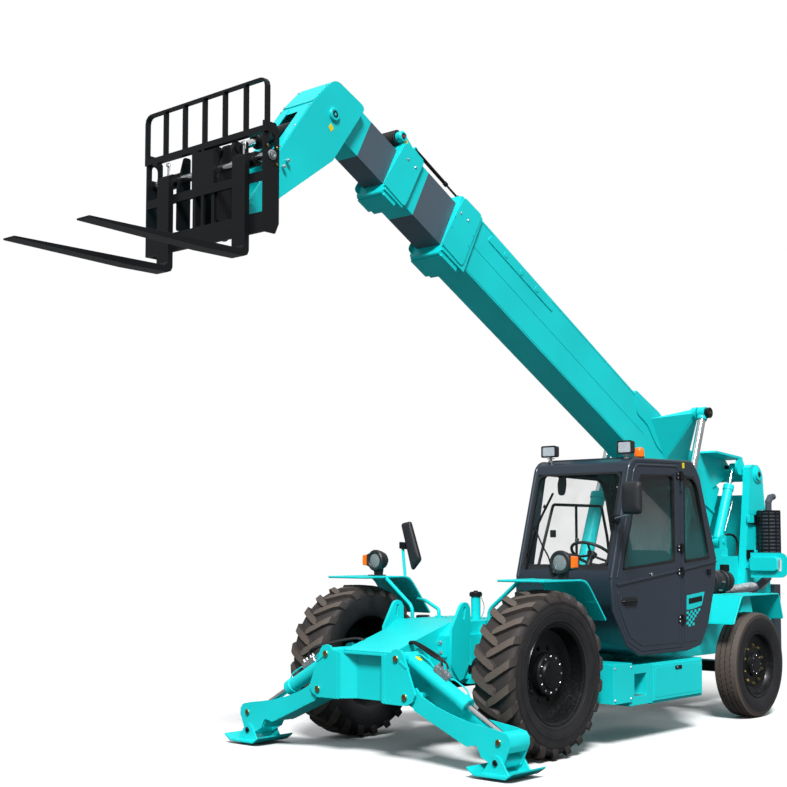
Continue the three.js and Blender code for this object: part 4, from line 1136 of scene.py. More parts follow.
piece("slave_pin", lathe(oblong(0, 52, 20, -84), end, X, 24), "iron", "slave_rod", "cast_iron")
fittings = Shape()
for along in (110, 520):
    fittings.join(lathe([(0, 0), (13, 0), (13, 22), (9, 24), (9, 40), (0, 40)], port(along, 44), PORT_OUT, 6))
piece("slave_hose_fittings", fittings, "steel", "slave_barrel", "chrome")
line = tube([port(520, 80), port(480, 96), port(300, 84), port(150, 70)], 6)
piece("slave_hard_line", line, "steel", "slave_barrel", "chrome")
hose = tube([port(110, 80), at(275, 4330, 1700), at(285, 4420, 1640), at(290, 4400, 1500), at(280, 4250, 1380),
             at(240, 4150, 1330)], 13)
piece("slave_hoses", hose, "rubber", "slave_barrel", "black_plastic")
cylinder(HEAD_PIN[1:], TILT_EYE[1:], 0, (52, 28, 690, 42), "tilt_barrel", "tilt_rod", "black")
pin = lathe(oblong(0, -80, 26, 80), at(*TILT_EYE), X, 24)
piece("tilt_pin", pin, "iron", "tilt_rod", "cast_iron")

# ---------- fork carriage ----------
# bright shaft with a cap on each end, ribs behind the carriage, lock pins on the forks
SHAFT = (-2455, 4125)
ends = lathe([(0, 0), (34, 0), (34, 6), (26, 10), (26, 16), (17, 18), (17, 13), (9, 13), (9, 20), (0, 20)],
             at(610, *SHAFT), X, 36)
piece("shaft_end_caps", ends.with_mirror(), "steel", "carriage", "chrome")
shaft_cover = lathe([(28.6, -560), (28.6, 560)], at(0, *SHAFT), X, 32)
piece("carriage_shaft_bright", shaft_cover, "chrome", "carriage", "chrome")
ribs = Shape()
for x in (-300, -120, 120, 300):
    ribs.join(slab(rounded([(-2500, 3760), (-2385, 3760), (-2385, 4285), (-2440, 4285), (-2500, 4060)], 14),
                   x - 8, x + 8, side(), 2))
piece("carriage_ribs", ribs, "black", "carriage", "black_paint")
spots = [(at(s * 616, SHAFT[0] + dy, SHAFT[1] + dz), X * s) for s in (1, -1) for dy,
         dz in ((-42, 52), (42, 52), (40, -58))]
bolts("carriage_screws", spots, 8, 6, "carriage", "brass")
for side_name, x in (("left", 413), ("right", -366)):
    pin = lathe([(0, 0), (7, 0), (7, 64), (15, 66), (15, 82), (6, 90), (0, 91)], at(x + 30, -2548, 4140), Z, 20)
    pin.join(tube([at(x + 30, -2548, 4215), at(x + 52, -2556, 4215), at(x + 54, -2556, 4170)], 4, sides=8))
    piece(f"fork_lock_pin_{side_name}", pin, "steel", f"fork_{side_name}", "chrome")


# ---------- stabilisers ----------
def upright(x_sign=1):
    """Place rule for a plate seen from the front on one side: (x, z) with its depth along y."""
    return lambda a, b, depth: at(a * x_sign, depth, b)


def bends(made, start, end):
    """Takes a hose off the body it rode on and bakes its place into its mesh. The two points, start and end, are not
    used.
    """
    body, place = made["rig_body"], made.matrix_world.copy()
    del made["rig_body"]
    made.parent = None
    made.matrix_world = place
    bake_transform(made)
    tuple(start)
    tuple(end)


UPPER, LOWER, FOOT, ROD_EYE = (359, 769), (444, 496), (1255, 112), (1272, 250)
LEG_Y = -815


def pin_face(x, y, z, radius, way=-Y):
    """Pin end with a keeper recess and a nipple."""
    return lathe([(0, 0), (radius, 0), (radius, 3), (radius - 3, 6), (radius * 0.45, 6), (radius * 0.4, 2.5),
                  (radius * 0.2, 2.5), (radius * 0.2, 8), (0, 8)], at(x, y, z), way, 28)


for side_name, sign in SIDES:
    start, end = at(sign * UPPER[0], LEG_Y, UPPER[1]), at(sign * ROD_EYE[0], LEG_Y, ROD_EYE[1])
    way = (end - start).normalized()
    up = Vector((-way.z, 0, way.x)) * sign

    def pipe(along, above, back):
        """A point beside this stabiliser's cylinder, in millimetres."""
        return start + way * (along * MM) + up * (above * MM) + Y * (back * MM)

    barrel = lathe([(0, 20), (46, 20), (55, 36), (55, 570), (62, 574), (62, 632), (57, 639), (30, 639), (30, BORE_END),
                    (0, BORE_END)], start, way, 40)
    barrel.join(lathe([(0, -104), (40, -104), (43, -101), (43, 101), (40, 104), (0, 104)], start, Y, 32))
    barrel_body, rod_body = f"stabiliser_barrel_{side_name}", f"stabiliser_rod_{side_name}"
    piece(barrel_body + "_turned", barrel, "teal", barrel_body, "teal_paint", 35, [barrel_body])
    reach = (end - start).length / MM
    piece(rod_body + "_bar", lathe([(0, 420), (25, 420), (25, reach - 30)], start, way, 32), "chrome", rod_body,
          "chrome", 35, [rod_body])
    eye = lathe([(0, -38), (35, -38), (38, -35), (38, 35), (35, 38), (0, 38)], end, Y, 32)
    eye.join(lathe([(30, reach - 62), (34, reach - 56), (34, reach - 24)], start, way, 28))
    eye.join(lathe(oblong(0, -100, 20, 100), end, Y, 20))
    piece(rod_body + "_eye", eye, "iron", rod_body, "cast_iron", 35)
    block = slab(oblong(250, 53, 400, 96), -24, 24, pipe, 3)
    piece(f"valve_block_{side_name}", block, "steel", barrel_body, "chrome")
    stubs, spots = Shape(), []
    for along in (268, 300, 345, 380):
        stubs.join(lathe([(0, 0), (13, 0), (13, 16), (9, 18), (9, 30), (0, 31)], pipe(along, 94, 0), up, 6))
    for back in (-22, 22):
        spots += [(pipe(along, 75, back), Y * back) for along in (275, 325, 375)]
    piece(f"valve_fittings_{side_name}", stubs, "steel", barrel_body, "chrome")
    bolts(f"valve_screws_{side_name}", spots, 6, 5, barrel_body)
    lines = tube([pipe(400, 75, 12), pipe(440, 92, 12), pipe(560, 92, 12), pipe(604, 62, 12)], 6, bend=0.03, sides=8)
    lines.join(tube([pipe(250, 75, -12), pipe(200, 88, -12), pipe(90, 88, -12), pipe(60, 56, -12)], 6, bend=0.03,
                    sides=8))
    piece(f"stabiliser_hard_lines_{side_name}", lines, "teal", barrel_body, "teal_paint")
    for number, d in enumerate((-10, 12)):
        hose = [at(sign * 205, -640 + d, 830), at(sign * 300, -700 + d, 872), pipe(180, 138 + number * 12, d),
                pipe(270 + number * 32, 150, d), pipe(300 + number * 45, 122, d)]
        rubber = piece(f"stabiliser_hose_{side_name}_{number}", tube(hose, 8, sides=10), "rubber", "chassis",
                       "black_plastic")
        guard = coil(f"stabiliser_hose_guard_{side_name}_{number}", hose[:4], 11, 9, 2.4)
        for made in (rubber, guard):
            bends(made, hose[0], hose[2])
    sticker(f"barrel_sticker_{side_name}", [pipe(*p) for p in ((70, 50, -32), (120, 50, -32), (120, 57, -8),
                                                               (70, 57, -8))],
            barrel_body)
    # pin heads on the brackets, on the leg's rod pin and on the foot
    heads = Shape()
    for x, z in (UPPER, LOWER):
        heads.join(pin_face(sign * x, -970, z, 25))
        heads.join(pin_face(sign * x, -660, z, 25, Y))
    piece(f"bracket_pin_heads_{side_name}", heads, "brass", "chassis", "chrome")
    leg = f"stabiliser_leg_{side_name}"
    heads = pin_face(sign * ROD_EYE[0], -940, ROD_EYE[1], 23).join(pin_face(sign * ROD_EYE[0], -690, ROD_EYE[1], 23, Y))
    piece(f"leg_pin_heads_{side_name}", heads, "brass", leg, "chrome")
    heads = pin_face(sign * FOOT[0], -954, FOOT[1], 22).join(pin_face(sign * FOOT[0], -676, FOOT[1], 22, Y))
    piece(f"foot_pin_heads_{side_name}", heads, "black", leg, "black_paint")
    throat = sweep([at(sign * x, LEG_Y, z) for x, z in ((974, 203), (1000, 204), (1040, 207), (1066, 206), (1086, 190),
                                                      (1113, 142), (1124, 134))],
                   oblong(-0.004, -0.1, 0.004, 0.1))
    piece(f"leg_throat_plate_{side_name}", throat, "teal", leg, "teal_paint", 50)
    # weld beads where the bracket plates meet the box, keeper plates behind the pins
    place = upright(sign)
    beads = Shape()
    for y in (-962, -688):
        beads.join(tube([place(246, 440, y), place(246, 780, y)], 3, sides=8))
    beads.join(tube([place(124, 446, -866), place(124, 774, -866)], 4, sides=8))
    piece(f"bracket_weld_beads_{side_name}", beads, "teal", "chassis", "teal_paint")
    keeper = slab(rounded([(385, 745), (455, 700), (462, 715), (392, 760)], 5), -966, -960, place, 1)
    piece(f"pin_keeper_{side_name}", keeper, "teal", "chassis", "teal_paint")
    # bolted plate and gusset on the shoulder, teal screws on the pad
    plate = slab(rounded([(215, 745), (325, 735), (325, 902), (215, 896)], 10), -346, -331, place, 2)
    plate.join(slab([(30, 800), (205, 745), (205, 900)], -346, -331, place, 2))
    piece(f"shoulder_plate_{side_name}", plate, "teal", "chassis", "teal_paint")
    bolts(f"shoulder_bolts_{side_name}", [(at(sign * 266, -346, z), -Y) for z in (845, 772)], 15, 12, "chassis")
    pad = f"stabiliser_pad_{side_name}"
    bolts(f"pad_screws_{side_name}", [(at(sign * (FOOT[0] + dx), -830 + dy, 34.5), Z) for dx in (-110, 110)
                                      for dy in (-160, 160)], 9, 6, pad, "teal")

# hood: filler cap with its grips and chain, lid screws
cap = lathe([(0, -8), (46, -8), (48, -4), (48, 22), (44, 30), (20, 32), (14, 40), (0, 41)], at(180, 200, 1190), Z, 40)
piece("filler_cap", cap, "black", "chassis", "black_plastic")
knurl = Shape()
for i in range(20):
    turn = Matrix.Rotation(2 * math.pi * i / 20, 3, "Z")
    a = turn @ Vector((0.049, 0, 0))
    knurl.join(tube([at(180, 200, 1186) + a, at(180, 200, 1212) + a], 2.6, sides=6))
piece("filler_cap_grips", knurl, "rubber", "chassis", "black_plastic")
piece("filler_chain", tube([at(228, 200, 1190), at(250, 215, 1120), at(236, 230, 1060), at(215, 220, 1012)], 3,
                           sides=6),
      "steel", "chassis", "chrome")
spots = [(at(x, y, 1001), Z) for x in (-205, 205) for y in (-150, 60, 280, 480)]
bolts("hood_screws", spots, 9, 7, "chassis")

# ---------- front fenders, headlamps ----------
for side_name, sign in SIDES:
    place = lambda x, y, z: at(sign * x, y, z)
    sheet = slab(rounded([(-170, 1331), (380, 1331), (650, 1010), (642, 1003), (376, 1323), (-170, 1323)], 60, 6),
                 680, 1123,
                 side(sign), 0.8)
    piece(f"front_fender_sheet_{side_name}", sheet, "teal", "chassis", "teal_paint", 32, [f"front_fender_{side_name}"])
    stays = tube([place(400, 90, 962), place(400, 90, 1085), place(695, 90, 1318)], 16, 0.05, 12)
    stays.join(tube([place(290, 300, 1002), place(290, 300, 1060), place(470, 340, 1130), place(690, 500, 1130)],
                    15, 0.05, 12))
    for spot in ((400, 90, 960), (290, 300, 1001)):
        stays.join(lathe(oblong(0, 0, 34, 8), place(*spot), Z, 20))
    piece(f"front_fender_stays_{side_name}", stays, "teal", "chassis", "teal_paint", 45)
    turned = tube([place(684, -166, 1325), place(1112, -166, 1325)], 9, sides=10)
    for x in (688, 1115):
        turned.join(tube([place(x, -164, 1325), place(x, 380, 1325), place(x, 646, 1016)], 9, 0.09, 10))
    turned.join(tube([place(690, 646, 1014), place(1112, 646, 1014)], 9, sides=10))
    turned.join(tube([place(700, 520, 1155), place(1105, 520, 1155)], 7, sides=8))
    piece(f"front_fender_turned_edges_{side_name}", turned, "teal", "chassis", "teal_paint")
    centre, inwards = place(966, 262, 1462), Vector((-0.05 * sign, 1, 0))
    lamp_face = lambda a, b, d: centre + Vector((a * sign, d, b)) * MM
    pod = lathe([(0, 118), (40, 112), (70, 78), (84, 40), (92, 4), (92, -14), (84, -24), (68, -25), (62, -18),
                 (60, -10)],
                centre, inwards, 48)
    shell = slab(rounded([(-40, -66), (60, -64), (128, -40), (128, 46), (60, 70), (-40, 72)], 22), -6, 74,
                 lamp_face, 8)
    foot = slab(rounded([(-34, -130), (34, -130), (44, -60), (-44, -60)], 8), 10, 54,
                lamp_face, 4)
    base = slab(rounded(oblong(-60, 214, 60, 330), 10), 1331, 1339,
                lambda a, b, d: place(966 + a, b, d), 1.5)
    piece(f"headlamp_pod_{side_name}", pod.join(shell).join(foot).join(base), "plastic", "chassis", "black_plastic",
          38)
    bowl = lathe([(0, 40), (24, 34), (46, 16), (61, -9)], centre, inwards, 40)
    bowl.faces = [face[::-1] for face in bowl.faces]
    bowl.join(lathe([(12, 34), (12, 4), (9, 0), (0, -1)], centre, inwards, 20))
    piece(f"headlamp_bowl_{side_name}", bowl, "mirror", "chassis", "chrome")
    piece(f"headlamp_lens_{side_name}", lathe([(62, -14), (48, -19), (28, -22), (0, -23)], centre, inwards, 40),
          "clear", "chassis", "glass")
    amber = slab(rounded([(104, -46), (143, -40), (143, 46), (104, 50)], 8), -22, 30,
                 lamp_face, 6)
    piece(f"turn_lamp_{side_name}", amber, "amber", "chassis", "amber_plastic")

# ---------- rear: muffler guard, lamp guards, foil pipe, air cleaner ----------
MUFFLER = (556, 4600)
guard = Shape()
for i in range(12):
    z = 1510 + i * 36.5
    arc = [at(*MUFFLER, z) + Vector((math.cos(t), math.sin(t), 0)) * 0.116 for t in np.linspace(-0.2, 5.1, 30) - 2.2]
    guard.join(sweep(arc, oblong(-0.009, -0.0015, 0.009, 0.0015)))
for t in (-2.4, -1.75, -1.1, -0.45, 0.2, 0.85, 1.5):
    spot = Vector((math.cos(t), math.sin(t), 0)) * 0.1165
    guard.join(tube([at(*MUFFLER, 1502) + spot, at(*MUFFLER, 1935) + spot], 7, sides=8))
guard.join(lathe([(118, 0), (118, 16), (0, 18)], at(*MUFFLER, 1934), Z, 40))
guard.join(lathe([(0, 0), (118, 0), (118, 14)], at(*MUFFLER, 1494), Z, 40))
piece("muffler_guard", guard, "black", "chassis", "black_paint")


def beam(points, half, thick):
    """Flat bar on edge through points."""
    return sweep(bent_path(points, 0.05), flat_bar(half * MM, thick * MM))


for side_name, sign in SIDES:
    place = lambda x, y, z: at(sign * x, y, z)
    loop = beam([place(500, 4300, 1300), place(868, 4300, 1300), place(868, 4300, 1482), place(500, 4300, 1482)], 34, 4)
    piece(f"rear_lamp_guard_{side_name}", loop, "teal", "chassis", "teal_paint")
    box = slab(rounded(oblong(500, 1332, 806, 1472), 34), 4262, 4338,
               lambda a, b, d: place(a, d, b), 8)
    piece(f"rear_lamp_cover_{side_name}", box, "teal", "chassis", "teal_paint")
    lens = slab(rounded([(806, 1340), (836, 1344), (836, 1462), (806, 1464)], 10), 4270, 4330,
                lambda a, b, d: place(a, d, b), 5)
    piece(f"rear_lamp_lens_{side_name}", lens, "clear", "chassis", "amber_plastic")
    arm = beam([place(436, 4320, 1390), place(520, 4310, 1390)], 30, 6)
    piece(f"rear_lamp_arm_{side_name}", arm, "teal", "chassis", "teal_paint")
    low = slab(rounded(oblong(840, 905, 900, 950), 8), 2782, 2800,
               lambda a, b, d: place(a, d, b), 3)
    piece(f"rear_side_marker_{side_name}", low, "amber", "chassis", "amber_plastic")
    spots = [(place(x, 3330 + y, 1136), Z) for x in (860, 1080) for y in (-380, 250)]
    bolts(f"rear_fender_screws_{side_name}", spots, 9, 6, "chassis")
    rim_line = Shape()
    for x in (824, 1116):
        rim_line.join(tube([place(x, *p) for p in ((2742, 884), (2752, 906), (2902, 1133), (3638, 1133), (3716, 902))],
                           8, 0.04, 8))
    piece(f"rear_fender_turned_edges_{side_name}", rim_line, "teal", "chassis", "teal_paint")

foil = [at(470, 3700, 1150), at(480, 3980, 1158), at(500, 4289, 1179), at(505, 4480, 1172), at(520, 4560, 1215),
        at(545, 4590, 1300),
        at(*MUFFLER, 1420), at(*MUFFLER, 1496)]
piece("exhaust_foil_wrap", tube(foil, 34, sides=20), "foil", "chassis", "chrome")
coil("exhaust_foil_folds", foil, 26, 34, 5, "foil")
CLEANER_X, CLEANER_Y, CLEANER_Z = 620, 3190, 1246
cleaner = lathe([(0, 0), (88, 0), (100, 8), (104, 20), (104, 90), (112, 94), (112, 112), (104, 116), (104, 210),
                 (110, 214), (110, 224), (104, 228), (104, 300), (98, 340), (60, 352), (0, 356)],
                at(CLEANER_X, CLEANER_Y + 5, CLEANER_Z), Y, 48)
piece("air_cleaner_drum", cleaner, "plastic", "chassis", "black_plastic", 35, ["air_cleaner"])
strap = Shape()
for y in (CLEANER_Y + 180, CLEANER_Y + 250):
    ring = [at(CLEANER_X, y, CLEANER_Z) + Vector((math.cos(t), 0, math.sin(t))) * 0.106 for t in np.linspace(0,
                                                                                                             6.2832,
                                                                                                             41)]
    strap.join(sweep(ring, oblong(-0.002, -0.01, 0.002, 0.01), False))
strap.join(brick((400, 3432, 1132), (650, 3488, 1144), 2))
strap.join(lathe([(34, 0), (46, 0), (46, 60), (40, 66), (0, 66)], at(CLEANER_X, CLEANER_Y + 330, 1340), Z, 28))
piece("air_cleaner_straps", strap, "black", "chassis", "black_paint", 40)
clips = Shape()
for t in np.linspace(0, 5.5, 6):
    out = Vector((math.cos(t), 0, math.sin(t)))
    spot = at(CLEANER_X, CLEANER_Y + 95, CLEANER_Z) + out * 0.112
    clips.join(sweep([spot - Y * 0.03, spot + Y * 0.035], oblong(-0.008, -0.004, 0.008, 0.004)))
piece("air_cleaner_clips", clips, "steel", "chassis", "chrome")
intake = [at(520, 3600, 1250), at(430, 3640, 1260), at(330, 3660, 1240), at(250, 3680, 1200)]
piece("air_intake_hose", tube(intake, 44, sides=20), "rubber", "chassis", "black_plastic")
coil("air_intake_ribs", intake, 16, 45, 4)

# tower: back plate, muffler mounts, pivot bosses and caps, screws
plate = slab([(4822, 960), (4844, 960), (4844, 1500), (4736, 2120), (4714, 2120), (4822, 1500)], -355, 355, side(), 1)
plate.join(slab(rounded(oblong(4470, 1460, 4560, 1540), 12), 436, 470, side(), 3))
plate.join(slab(rounded(oblong(4350, 1820, 4450, 1900), 12), 436, 470, side(), 3))
plate.join(tube([at(-355, 4300, 1240), at(355, 4300, 1240)], 52, sides=24))
piece("tower_back_plate", plate, "teal", "chassis", "teal_paint", 40)
plate = slab(rounded(oblong(4400, 1810, 4560, 1905), 10), 436, 455, side(), 3)
plate.join(slab(rounded(oblong(4330, 1450, 4480, 1545), 10), 436, 455, side(), 3))
piece("muffler_mount_plates", plate, "black", "chassis", "black_paint", 40)
TOWER_PIN = at(0, 4590, 2325)
bosses = both_ways([(86, 434), (86, 446), (80, 450), (60, 450), (60, 462), (56, 466), (30, 466), (30, 458), (0, 458)],
                   TOWER_PIN, 40)
piece("tower_pivot_bosses", bosses, "teal", "chassis", "teal_paint")
caps = lathe([(0, 458), (28, 458), (28, 468), (24, 471), (0, 471)], TOWER_PIN, X, 28).with_mirror()
piece("tower_pivot_caps", caps, "iron", "chassis", "cast_iron")
spots = [(at(s * 435, y, z), X * s) for s in (1, -1) for y, z in ((4665, 2254), (4560, 1866), (4430, 1500),
                                                                  (4700, 1950))]
bolts("tower_screws", spots, 12, 9, "chassis")

# tool box: latch, sticker, pressed panel; step, side tank and their screws
latch = brick((1123, 1690, 560), (1133, 1790, 588), 3)
piece("locker_latch", latch, "black", "locker_door", "black_plastic")
piece("locker_latch_key", disc(at(1133, 1715, 574), X, 9, 4), "steel", "locker_door", "chrome")
sticker("locker_sticker", [at(1123.5, *p) for p in ((2075, 545), (2115, 545), (2115, 585), (2075, 585))], "locker_door")
ridge = slab(rounded(oblong(1375, 350, 2115, 590), 24), 1122, 1125.5, side(), 1)
piece("locker_door_pressing", ridge, "teal", "locker_door", "teal_paint")
grip = Shape()
for i in range(7):
    grip.join(brick((970, 1085 + i * 22, 380), (1110, 1094 + i * 22, 386), 1.5))
piece("step_tread_bars", grip, "steel", "chassis", "chrome")
spots = [(at(1131, y, z), X) for y in (755, 990) for z in (375, 625)]
bolts("step_box_screws", spots, 8, 6, "chassis")
spots = [(at(-1101, y, z), -X) for y in (820, 1500, 2260) for z in (380, 860)]
bolts("side_tank_screws", spots, 9, 7, "chassis")
cap = lathe([(0, 0), (62, 0), (62, 26), (56, 34), (0, 36)], at(-980, 900, 933), Z, 36)
piece("side_tank_cap", cap, "black", "chassis", "black_plastic")

# ---------- cab ----------
CAB_SIDE = [(722, 1300), (735, 1080), (935, 787), (1130, 700), (1900, 697), (2130, 735), (2260, 900), (2390, 1250),
            (2420, 1453), (2130, 2200), (2010, 2315), (1080, 2300), (1010, 2250)]
DOOR_GLASS = [(880, 1395), (1700, 1455), (1700, 2190), (1180, 2170), (1105, 2090)]
QUARTER_GLASS = [(1860, 1445), (2290, 1478), (2105, 2090), (2030, 2180), (1860, 2190)]
RIGHT_GLASS = [(900, 1250), (2290, 1400), (2110, 2080), (2020, 2190), (1130, 2200)]


def screen_y(z):
    """The windscreen's front face at a height."""
    return 722 + (z - 1300) * 288 / 950


def sloped(y_low, z_low, y_high, z_high):
    """Place rule on a sloped pane seen from the front: (x, z), with its depth along y."""
    return lambda a, b, depth: at(a, y_low + (y_high - y_low) * (b - z_low) / (z_high - z_low) + depth, b)


def shifted(outline, distance):
    """Outline moved towards its middle by a distance, or outwards if it is negative."""
    centre = Vector(np.mean(outline, axis=0))
    out = []
    for spot in outline:
        away = Vector(spot) - centre
        out.append(tuple(centre + away * (1 - distance / away.length)))
    return out


def band(outline, width, low, high, place, corner=50):
    """Closed strip inside a rounded outline, from low to high in depth."""
    rims = [rounded(shifted(outline, d), corner, 4) for d in (0, width)]
    shape = Shape()
    for rim, depth in ((0, low), (0, high), (1, high), (1, low)):
        shape.points.extend(Vector(place(a, b, depth)) for a, b in rims[rim])
    return outward(shape.skin(len(rims[0]), 4, loop=True))


CAB_FACES = (1.13, 0.185)      # metres: the shell's outside and inside faces


def soft_shell(node, width):
    """A cab pressing whose long outside edges are rounded like bent tube."""
    work = opened(node)
    rim = [at(0, *p) for p in CAB_SIDE]

    def on_rim(vert):
        if min(abs(vert.co.x - x) for x in CAB_FACES) > 1e-4:
            return False
        for a, b in zip(rim, rim[1:] + rim[:1]):
            span = Vector((0, b.y - a.y, b.z - a.z))
            reach = Vector((0, vert.co.y - a.y, vert.co.z - a.z))
            share = min(1.0, max(0.0, reach.dot(span) / span.length_squared))
            if (reach - span * share).length < 5e-4:
                return True
        return False

    long_edges = [e for e in work.edges if e.is_manifold and all(on_rim(v) for v in e.verts)
                  and abs(e.verts[0].co.x - e.verts[1].co.x) < 1e-5 and e.calc_face_angle(0) > 0.7]
    bevelled(work, long_edges, width, 4, False)
    shown_for(node, work, node + "_finished", "charcoal", "charcoal_paint", 40)


soft_shell("cab_shell", 14)
dress("cab_door", "charcoal", "charcoal_paint", 3)

# rubber round the panes, and the frames they sit in
for name, outline, body, place, low, high in (
    ("door_window", DOOR_GLASS, "cab_door", side(), 1112, 1134),
    ("quarter_window", QUARTER_GLASS, "chassis", side(), 1112, 1134),
    ("right_window", RIGHT_GLASS, "chassis", side(), 181, 203),
):
    piece(name + "_rubber", band(outline, 22, low, high, place), "rubber", body, "black_plastic", 40)
front_pane = sloped(screen_y(1420) + 4, 1420, screen_y(2190) + 4, 2190)
piece("windscreen_rubber", band(oblong(240, 1420, 1070, 2190), 26, -8, 8, front_pane, 60),
      "rubber", "chassis", "black_plastic", 40)
rear_pane = sloped(2400, 1500, 2150, 2130)
piece("rear_window_rubber", band(oblong(270, 1500, 1045, 2130), 26, -16, 6, rear_pane, 60),
      "rubber", "chassis", "black_plastic", 40)
ledge = slab(rounded(oblong(225, 1398, 1085, 1430), 8), -6, 4, front_pane, 2)
piece("windscreen_ledge", ledge, "plastic", "chassis", "black_plastic")

# tube-like ribs beside the panes, the door's frame and its pressed panel
pillar = Shape()
for x in (1112, 203):
    path = [at(x, *p) for p in ((742, 1330), (1019, 2243), (1086, 2288), (2006, 2302))]
    pillar.join(tube(path, 19, 0.06, 12))
path = [at(1112, *p) for p in ((2408, 1470), (2122, 2196), (2010, 2300))]
pillar.join(tube(path, 19, 0.06, 12))
piece("cab_roof_tubes", pillar, "charcoal", "chassis", "charcoal_paint", 45)
jamb = tube([at(1122, 1818, 760), at(1122, 1818, 2270)], 15, sides=12)
piece("cab_door_pillar_tube", jamb, "charcoal", "chassis", "charcoal_paint", 45)
door_frame = tube([at(1124, *p) for p in ((806, 1338), (1072, 2205), (1116, 2248), (1772, 2262), (1772, 760))], 13,
                  0.06, 12)
piece("cab_door_frame_tube", door_frame, "charcoal", "cab_door", "charcoal_paint", 45)
pressing = slab(rounded([(806, 1230), (812, 1112), (975, 862), (1160, 778), (1752, 776), (1752, 1345),
                         (1700, 1350)], 26),
                1129, 1134, side(), 1.5)
piece("cab_door_pressing", pressing, "charcoal", "cab_door", "charcoal_paint")
pressing = slab(rounded([(1845, 770), (2100, 780), (2232, 930), (2352, 1260), (2372, 1425), (1845, 1372)], 26),
                1129, 1133, side(), 1.5)
piece("cab_quarter_pressing", pressing, "charcoal", "chassis", "charcoal_paint")
for name, body, spots in (
    ("cab_belt_ridge_door", "cab_door", [(790, 1280), (1764, 1381)]),
    ("cab_belt_ridge_rear", "chassis", [(1830, 1388), (2345, 1445), (2400, 1450)]),
):
    ridge = sweep([at(1132, *p) for p in spots], [(-0.011, -0.006), (-0.006, 0.010), (0.006, 0.010), (0.011, -0.006),
                                                  (0.006, -0.010), (-0.006, -0.010)])
    piece(name, ridge, "charcoal", body, "charcoal_paint", 50)

# door: handle in its dish, key, hinges; quarter latch
dish = slab(rounded(oblong(845, 1112, 1092, 1180), 30), 1130, 1136, side(), 2)
piece("door_handle_dish", dish, "plastic", "cab_door", "black_plastic")
grip = tube([at(1136, 868, 1146), at(1158, 885, 1146), at(1158, 1050, 1146), at(1136, 1068, 1146)], 10, 0.015, 12)
piece("door_handle_bar", grip, "black", "cab_door", "black_plastic")
piece("door_key", disc(at(1134, 1315, 1355), X, 15, 6), "steel", "cab_door", "chrome")
hinges, leaves = Shape(), Shape()
for z in (930, 1330, 1528, 2142):
    hinges.join(lathe([(0, 0), (10, 0), (13, 3), (13, 77), (10, 80), (0, 80)], at(1143, 1803, z), Z, 20))
    leaves.join(slab(rounded([(1738, z + 8), (1796, z + 4), (1796, z + 76), (1738, z + 66)], 8), 1129, 1138, side(), 2))
    hinges.join(slab(rounded([(1810, z + 6), (1856, z + 14), (1856, z + 62), (1810, z + 74)], 8), 1129, 1138,
                     side(), 2))
piece("door_hinge_barrels", hinges, "black", "chassis", "black_paint")
piece("door_hinge_leaves", leaves, "black", "cab_door", "black_paint")
spots = [(at(1138, y, z + 40 + dz), X) for z in (930, 1330, 1528, 2142) for y, dz in ((1760, 16), (1760, -16))]
bolts("door_hinge_screws", spots, 6, 4, "cab_door")
latch = brick((1129, 2240, 1334), (1148, 2288, 1384), 5)
piece("quarter_window_latch", latch, "black", "chassis", "black_plastic")
sticker("pillar_tag", [at(1131.5, *p) for p in ((1838, 2250), (1874, 2250), (1874, 2296), (1838, 2296))], "chassis")

# plain teal panel on the quarter, breaking up into rows of squares
badge = slab(rounded([(1884, 1167), (2191, 1192), (2134, 1074), (2000, 1052), (1878, 1042)], 14), 1131, 1135, side(), 1)
blank = slab(rounded([(1912, 1140), (2140, 1158), (2140, 1112), (1912, 1094)], 6), 1135, 1137, side(), 0.6)
piece("quarter_blank_plate", blank, "black", "chassis", "black_plastic")
rows = Shape()
for row in range(6):
    for column in range(4):
        y = 1876 + column * 66 + (row % 2) * 33
        z = 1020 - row * 22 + (y - 1876) * 0.09
        if y < 2100 - row * 24:
            rows.join(slab([(y, z - 11), (y + 34, z - 8), (y + 34, z + 13), (y, z + 10)], 1131, 1134.5, side(), 0.8))
piece("quarter_badge", badge, "teal", "chassis", "teal_paint")
piece("quarter_badge_squares", rows, "teal", "chassis", "teal_paint")

# roof: panel, ribs, work lamps, beacon
panel = slab(rounded(oblong(262, 1130, 1052, 1960), 60), 2300, 2316, lying, 6)
piece("roof_panel", panel, "charcoal", "chassis", "charcoal_paint")
for side_name, x0, x1, y, z0, z1 in (("right", 230, 372, 1050, 2340, 2434), ("left", 953, 1088, 1100, 2343, 2447)):
    middle = (x0 + x1) / 2
    hull = slab(rounded(oblong(x0, z0, x1, z1), 16), y + 6, y + 62, across, 9)
    hull.join(band(oblong(x0 - 3, z0 - 3, x1 + 3, z1 + 3), 12, y - 4, y + 12, across, 16))
    for i in range(6):
        hull.join(brick((x0 + 14 + i * (x1 - x0 - 28) / 5 - 2, y + 58, z0 + 12), (x0 + 14 + i * (x1 - x0 - 28) / 5 + 2,
                                                                             y + 72, z1 - 12), 1))
    piece(f"work_lamp_{side_name}", hull, "plastic", "chassis", "black_plastic", 40)
    lens = slab(rounded(oblong(x0 + 9, z0 + 9, x1 - 9, z1 - 9), 12), y, y + 7, across, 2)
    piece(f"work_lamp_lens_{side_name}", lens, "lamp", "chassis", "glass")
    foot = tube([at(middle, y + 34, z0 + 6), at(middle, y + 34, z0 - 24)], 12, sides=12)
    foot.join(lathe([(0, 0), (24, 0), (24, 12), (16, 18), (0, 20)], at(middle, y + 34, z0 - 44), Z, 20))
    foot.join(brick((middle - 30, y + 20, z0 - 16), (middle + 30, y + 48, z0 - 8), 2))
    piece(f"work_lamp_foot_{side_name}", foot, "steel", "chassis", "chrome")
BEACON = (831, 1640)
